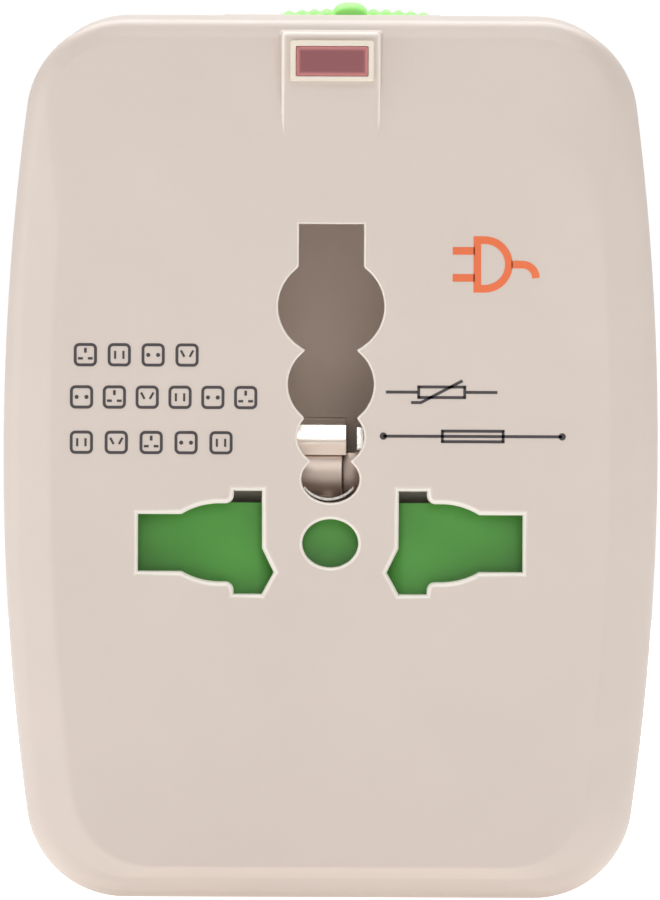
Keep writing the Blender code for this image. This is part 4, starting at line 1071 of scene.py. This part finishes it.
def blade_pocket(sign):
    """A cutter with a rounded mouth for the pocket that takes a flat pin's hub."""
    def ring(d):
        return ellipse(sign * BLADE_X, BLADE_Z, BLADE_POCKET + d, BLADE_POCKET + d)

    return flared("mouth", ring, PLUG_FRONT_Y, 0.5, 16.6, IVORY)


def make_plug_shell():
    end = edge_angle(COVER_Y - GAP)
    steps = 6
    rings = [even(PLUG_FRONT_Y + distance, inset) for distance, inset in reversed(DOCK_EDGE)]
    rings += [rear_edge(end * i / steps) for i in range(steps + 1)]
    shell = loft("plug_casing", rings, IVORY)
    wall = PLUG_FRONT_Y + 1.5
    cut(shell, loft("cavity", [even(wall, WALL), even(REAR_Y, WALL)], IVORY))
    inner = PLUG_FRONT_Y + 0.7
    tube = [(y, BLADE_POCKET + 0.9) for y in (inner, 15.9)]
    tubes = [turned("pocket", "y", (sign * BLADE_X, BLADE_Z), tube, IVORY) for sign in (-1, 1)]
    docks = [soften(dock_box(sign, DOCK_Y - DOCK_REACH, inner), 0.35) for sign in (-1, 1)]
    join(shell, *tubes, *docks)
    link_hole = turned("link", "y", LINK, ((-3, LINK_RADIUS), (1, LINK_RADIUS)), IVORY)
    cut(shell, blade_pocket(-1), blade_pocket(1), link_hole, knob_slot(wall))
    join(shell, seam_lip(DOCK_Y + 0.05, PLUG_FRONT_Y + 0.2, 1.0, 1.9))
    show(shell, "plug_module", "ivory_plastic", "plug_shell")


def recess(name, x0, z0, x1, z1, radius, floor_y):
    """A cutter for a recess in the rear face, with a rounded mouth."""
    def ring(d):
        return rounded_rectangle(x0 - d, z0 - d, x1 + d, z1 + d, radius + d, 5)

    return flared(name, ring, REAR_Y, 0.3, REAR_Y - floor_y, IVORY, inward=-1)


def make_rear_cover():
    start = edge_angle(COVER_Y)
    steps = 8
    rings = [rear_edge(start + (90 - start) * i / steps) for i in range(steps + 1)]
    cover = loft("rear_cover_detail", rings, IVORY)
    block = box("block", (-15.0, COVER_LOW[1], 3.0), (15.0, COVER_Y + 0.5, 31.6), IVORY)
    join(cover, block)
    pivot_z = EU_PIVOT[1]
    floor = COVER_LOW[1] + 0.9
    tip = pivot_z - EU_REACH - 0.8
    through = 24.0  # the pins' slots and the screws' seats start here, inside the cover
    bar_half = EU_BAR_HALF + 0.4
    tools = [recess("bar", -bar_half, pivot_z - 3.5, bar_half, pivot_z + 3.5, 0.6, floor)]
    for sign in (-1, 1):
        x = sign * EU_X
        tools.append(recess("round_pin", x - 2.8, tip, x + 2.8, pivot_z, 2.6, floor))
        for z in COVER_SCREW_Z:
            tools.append(chamfered_bore("head", (sign * SCREW_X, z), HEAD_SEAT, through, REAR_Y))
    for node in UK_PINS:
        low, high = cad_box(node)
        x0, z0, x1, z1 = low[0] - 0.25, low[2] - 0.25, high[0] + 0.25, high[2] + 0.25
        tools.append(recess("bar_pin", x0, z0, x1, z1, 0.3, through))
    tools.append(turned("axle", "x", EU_PIVOT, ((-14.3, 1.3), (14.3, 1.3)), IVORY))
    cut(cover, *tools)
    lip = seam_lip(COVER_Y - 0.8, COVER_Y + 0.2, 1.3, 2.4)
    cut(lip, knob_slot(20.0))
    join(cover, lip)
    show(cover, "plug_module", "ivory_plastic", "plug_rear_cover")


def make_uk_pins():
    """Three rectangular pins with rounded tips, and the ribbed thumb knob."""
    tenon = (0.9, 0.6, 1.4)  # smaller by this in X and Z, and its length
    tip_steps = ((1.9, 0.0), (1.2, 0.18), (0.4, 0.62), (0.0, 1.0))  # distance from the tip, and inset
    for node in UK_PINS:
        low, high = cad_box(node)
        root, tip = low[1], high[1]
        levels = [(root, *tenon[:2]), (root + tenon[2], *tenon[:2]), (root + tenon[2], 0.0, 0.0)]
        levels += [(tip - distance, inset, inset) for distance, inset in tip_steps]
        rings = []
        for y, dx, dz in levels:
            outline = rounded_rectangle(low[0] + dx, low[2] + dz, high[0] - dx, high[2] - dz, 0.3, 4)
            rings.append(at_y(outline, y))
        show(loft(f"{node}_detail", rings, NICKEL), "uk_pins", "nickel_plate", node, smooth=30)
    knob = box("thumb_knob", KNOB_LOW, KNOB_HIGH, GREEN)
    soften(knob, 0.35)
    middle = (KNOB_LOW[1] + KNOB_HIGH[1]) / 2
    ends = ((KNOB_LOW[2] - BEYOND, 0.5), (KNOB_HIGH[2] + BEYOND, 0.5))
    ribs = [turned("rib", "z", (KNOB_HIGH[0] + 0.25, middle + 0.9 * k), ends, GREEN, 24) for k in (-1, 0, 1)]
    cut(knob, *ribs)
    show(knob, "uk_pins", "green_plastic", "uk_slider_knob")


def make_folding_bar():
    """The bar that folds the two round pins out, with grooves for the thumb."""
    pivot_y, pivot_z = EU_PIVOT
    half, radius = EU_BAR_HALF, EU_BAR_RADIUS
    right = ((half - 0.5, radius), (half - 0.3, radius - 0.05), (half, radius - 0.4))
    profile = [(-x, r) for x, r in reversed(right)] + list(right)
    bar = turned("folding_bar", "x", EU_PIVOT, profile, GREEN, 64)
    bore = ((-20, 1.15), (20, 1.15))
    core = radius - 0.3
    tools = [turned("bore", "x", EU_PIVOT, bore, GREEN, 32)]
    for k in range(-4, 5):
        groove = ((-0.3, 3.6), (-0.12, core), (0.12, core), (0.3, 3.6))
        tools.append(turned("groove", "x", EU_PIVOT, [(k * 1.3 + dx, r) for dx, r in groove], GREEN, 64))
    for sign in (-1, 1):
        root = ((pivot_z - 4, 2.45), (pivot_z - 1.7, 2.45))
        tools.append(turned("root", "z", (sign * EU_X, pivot_y), root, GREEN))
    cut(bar, *tools)
    inner = turned("core", "x", EU_PIVOT, ((-6.2, core), (6.2, core)), GREEN, 64)
    cut(inner, turned("bore", "x", EU_PIVOT, bore, GREEN, 32))
    join(bar, inner)
    show(bar, "eu_pins", "green_plastic", "eu_hinge_bar")


def make_round_pin(side, sign):
    """A round pin with a rounded tip, and the dark insulating sleeve round its root."""
    pivot_y, pivot_z = EU_PIVOT
    place = (sign * EU_X, pivot_y)
    tip = pivot_z - EU_REACH
    bare = 9.3
    steps = ((0.0, 0.5), (0.12, 1.0), (0.5, 1.55), (1.1, 1.9), (1.7, 2.0), (bare, 2.0), (bare + 0.02, 1.75))
    profile = [(tip + distance, radius) for distance, radius in steps] + [(pivot_z - 2.0, 1.75)]
    pin = turned(f"round_pin_{side}", "z", place, profile, NICKEL)
    show(pin, "eu_pins", "nickel_plate", f"eu_pin_{side}", smooth=40)
    low, high = tip + bare + 0.06, pivot_z - 2.1
    section = ((low, 1.8), (low, 2.25), (low + 0.15, 2.4), (high, 2.4), (high, 1.8))
    builder = bmesh.new()
    add_walls(builder, [at_z(ellipse(*place, radius, radius, 48), z) for z, radius in section], closed=True)
    sleeve = link(f"pin_sleeve_{side}", builder, DARK_SLEEVE)
    show(sleeve, "eu_pins", "grey_brown_insulation", smooth=40)


# --- studio ---
def seen_as_white(tree, light, seen):
    """A strength that differs between the light it gives and the way the lens sees it."""
    return spread(tree, add_node(tree, "LightPath").outputs["Is Camera Ray"], 0.0, 1.0, light, seen)


def make_floor():
    builder = bmesh.new()
    half = 700
    corners = at_z(rectangle(-half, -half, half, half), 0)
    builder.faces.new([builder.verts.new([c * MM for c in corner]) for corner in corners])
    paper, tree, shader = shader_of("white_floor", 0.9)
    connect(shader, {"Base Color": (0.86, 0.86, 0.86, 1), "Specular IOR Level": 0.1,
                     "Emission Color": (1, 1, 1, 1), "Emission Strength": seen_as_white(tree, 0.49, 0.92)})
    floor = link("studio_floor", builder, paper)


def make_white_tent():
    """A world that is dim in front of the object, brighter behind it, and white to the lens."""
    front, behind, seen = 0.13, 0.55, 1.02
    world = bpy.data.worlds.new("white_tent")
    world.use_nodes = True
    tree = world.node_tree
    depth = axes(tree, "Generated")["Y"]
    light = spread(tree, depth, -0.1, 0.5, front, behind)
    connect(tree.nodes["Background"], {"Color": (1, 1, 1, 1), "Strength": seen_as_white(tree, light, seen)})
    bpy.context.scene.world = world


def soft_box(name, place, size, power):
    """A soft light that points at the middle of the object; its place and size are in metres."""
    lamp = bpy.data.lights.new(name, "AREA")
    lamp.shape = "RECTANGLE"
    lamp.size, lamp.size_y = size
    lamp.energy = power
    made = bpy.data.objects.new(name, lamp)
    made.location = place
    made.rotation_euler = (Vector(LIT_PLACE) - Vector(place)).to_track_quat("-Z", "Y").to_euler()
    bpy.context.scene.collection.objects.link(made)


LIT_PLACE = (0, 0, 0.035)
SOFT_BOXES = (  # name, place, size and power
    ("left_soft_box", (-0.85, -0.2, 0.2), (0.6, 0.6), 2.6),
    ("right_soft_box", (0.85, -0.2, 0.2), (0.6, 0.6), 0.40),
    ("top_soft_box", (0.1, -0.31, 0.8), (0.6, 0.6), 3.95),
    ("back_soft_box", (0.0, 0.6, 0.72), (0.9, 0.4), 5.0),
    ("front_soft_box", (0.05, -1.1, 0.35), (0.4, 0.4), 1.2),
)
CAMERA_DISTANCE = 2.0  # in metres
VIEW_HEIGHT = 73.47  # height of the picture at the object, in millimetres
SENSOR = 36.0
ELEVATION = 1.41  # degrees: the top of the casing just shows
ROLL = 0.24
AIM = (-0.05, FACE_Y, 36.7)


def make_camera():
    camera = bpy.data.cameras.new("camera")
    camera.sensor_fit = "VERTICAL"
    camera.sensor_height = SENSOR
    camera.lens = SENSOR * CAMERA_DISTANCE / (VIEW_HEIGHT * MM)
    camera.clip_end = 50
    made = bpy.data.objects.new("camera", camera)
    tilt = math.radians(ELEVATION)
    made.location = (AIM[0] * MM, AIM[1] * MM - CAMERA_DISTANCE * math.cos(tilt),
                     AIM[2] * MM + CAMERA_DISTANCE * math.sin(tilt))
    turn = Matrix.Rotation(math.pi / 2 - tilt, 3, "X") @ Matrix.Rotation(math.radians(ROLL), 3, "Z")
    made.rotation_euler = turn.to_euler()
    bpy.context.scene.collection.objects.link(made)
    bpy.context.scene.camera = made


def main():
    dress_cad_nodes()
    make_front_shell()
    make_rear_shell()
    make_indicator()
    make_earth_contact()
    make_guide_lips()
    make_shutter()
    make_shutter_spring()
    make_latch()
    make_prints()
    make_plug_print()
    for side, sign in SIDES:
        make_blade(side, sign)
    make_screws()
    make_plug_shell()
    make_rear_cover()
    make_uk_pins()
    make_folding_bar()
    for side, sign in SIDES:
        make_round_pin(side, sign)
    make_floor()
    make_white_tent()
    for light in SOFT_BOXES:
        soft_box(*light)
    make_camera()
    bpy.context.scene.view_settings.view_transform = "Standard"


main()
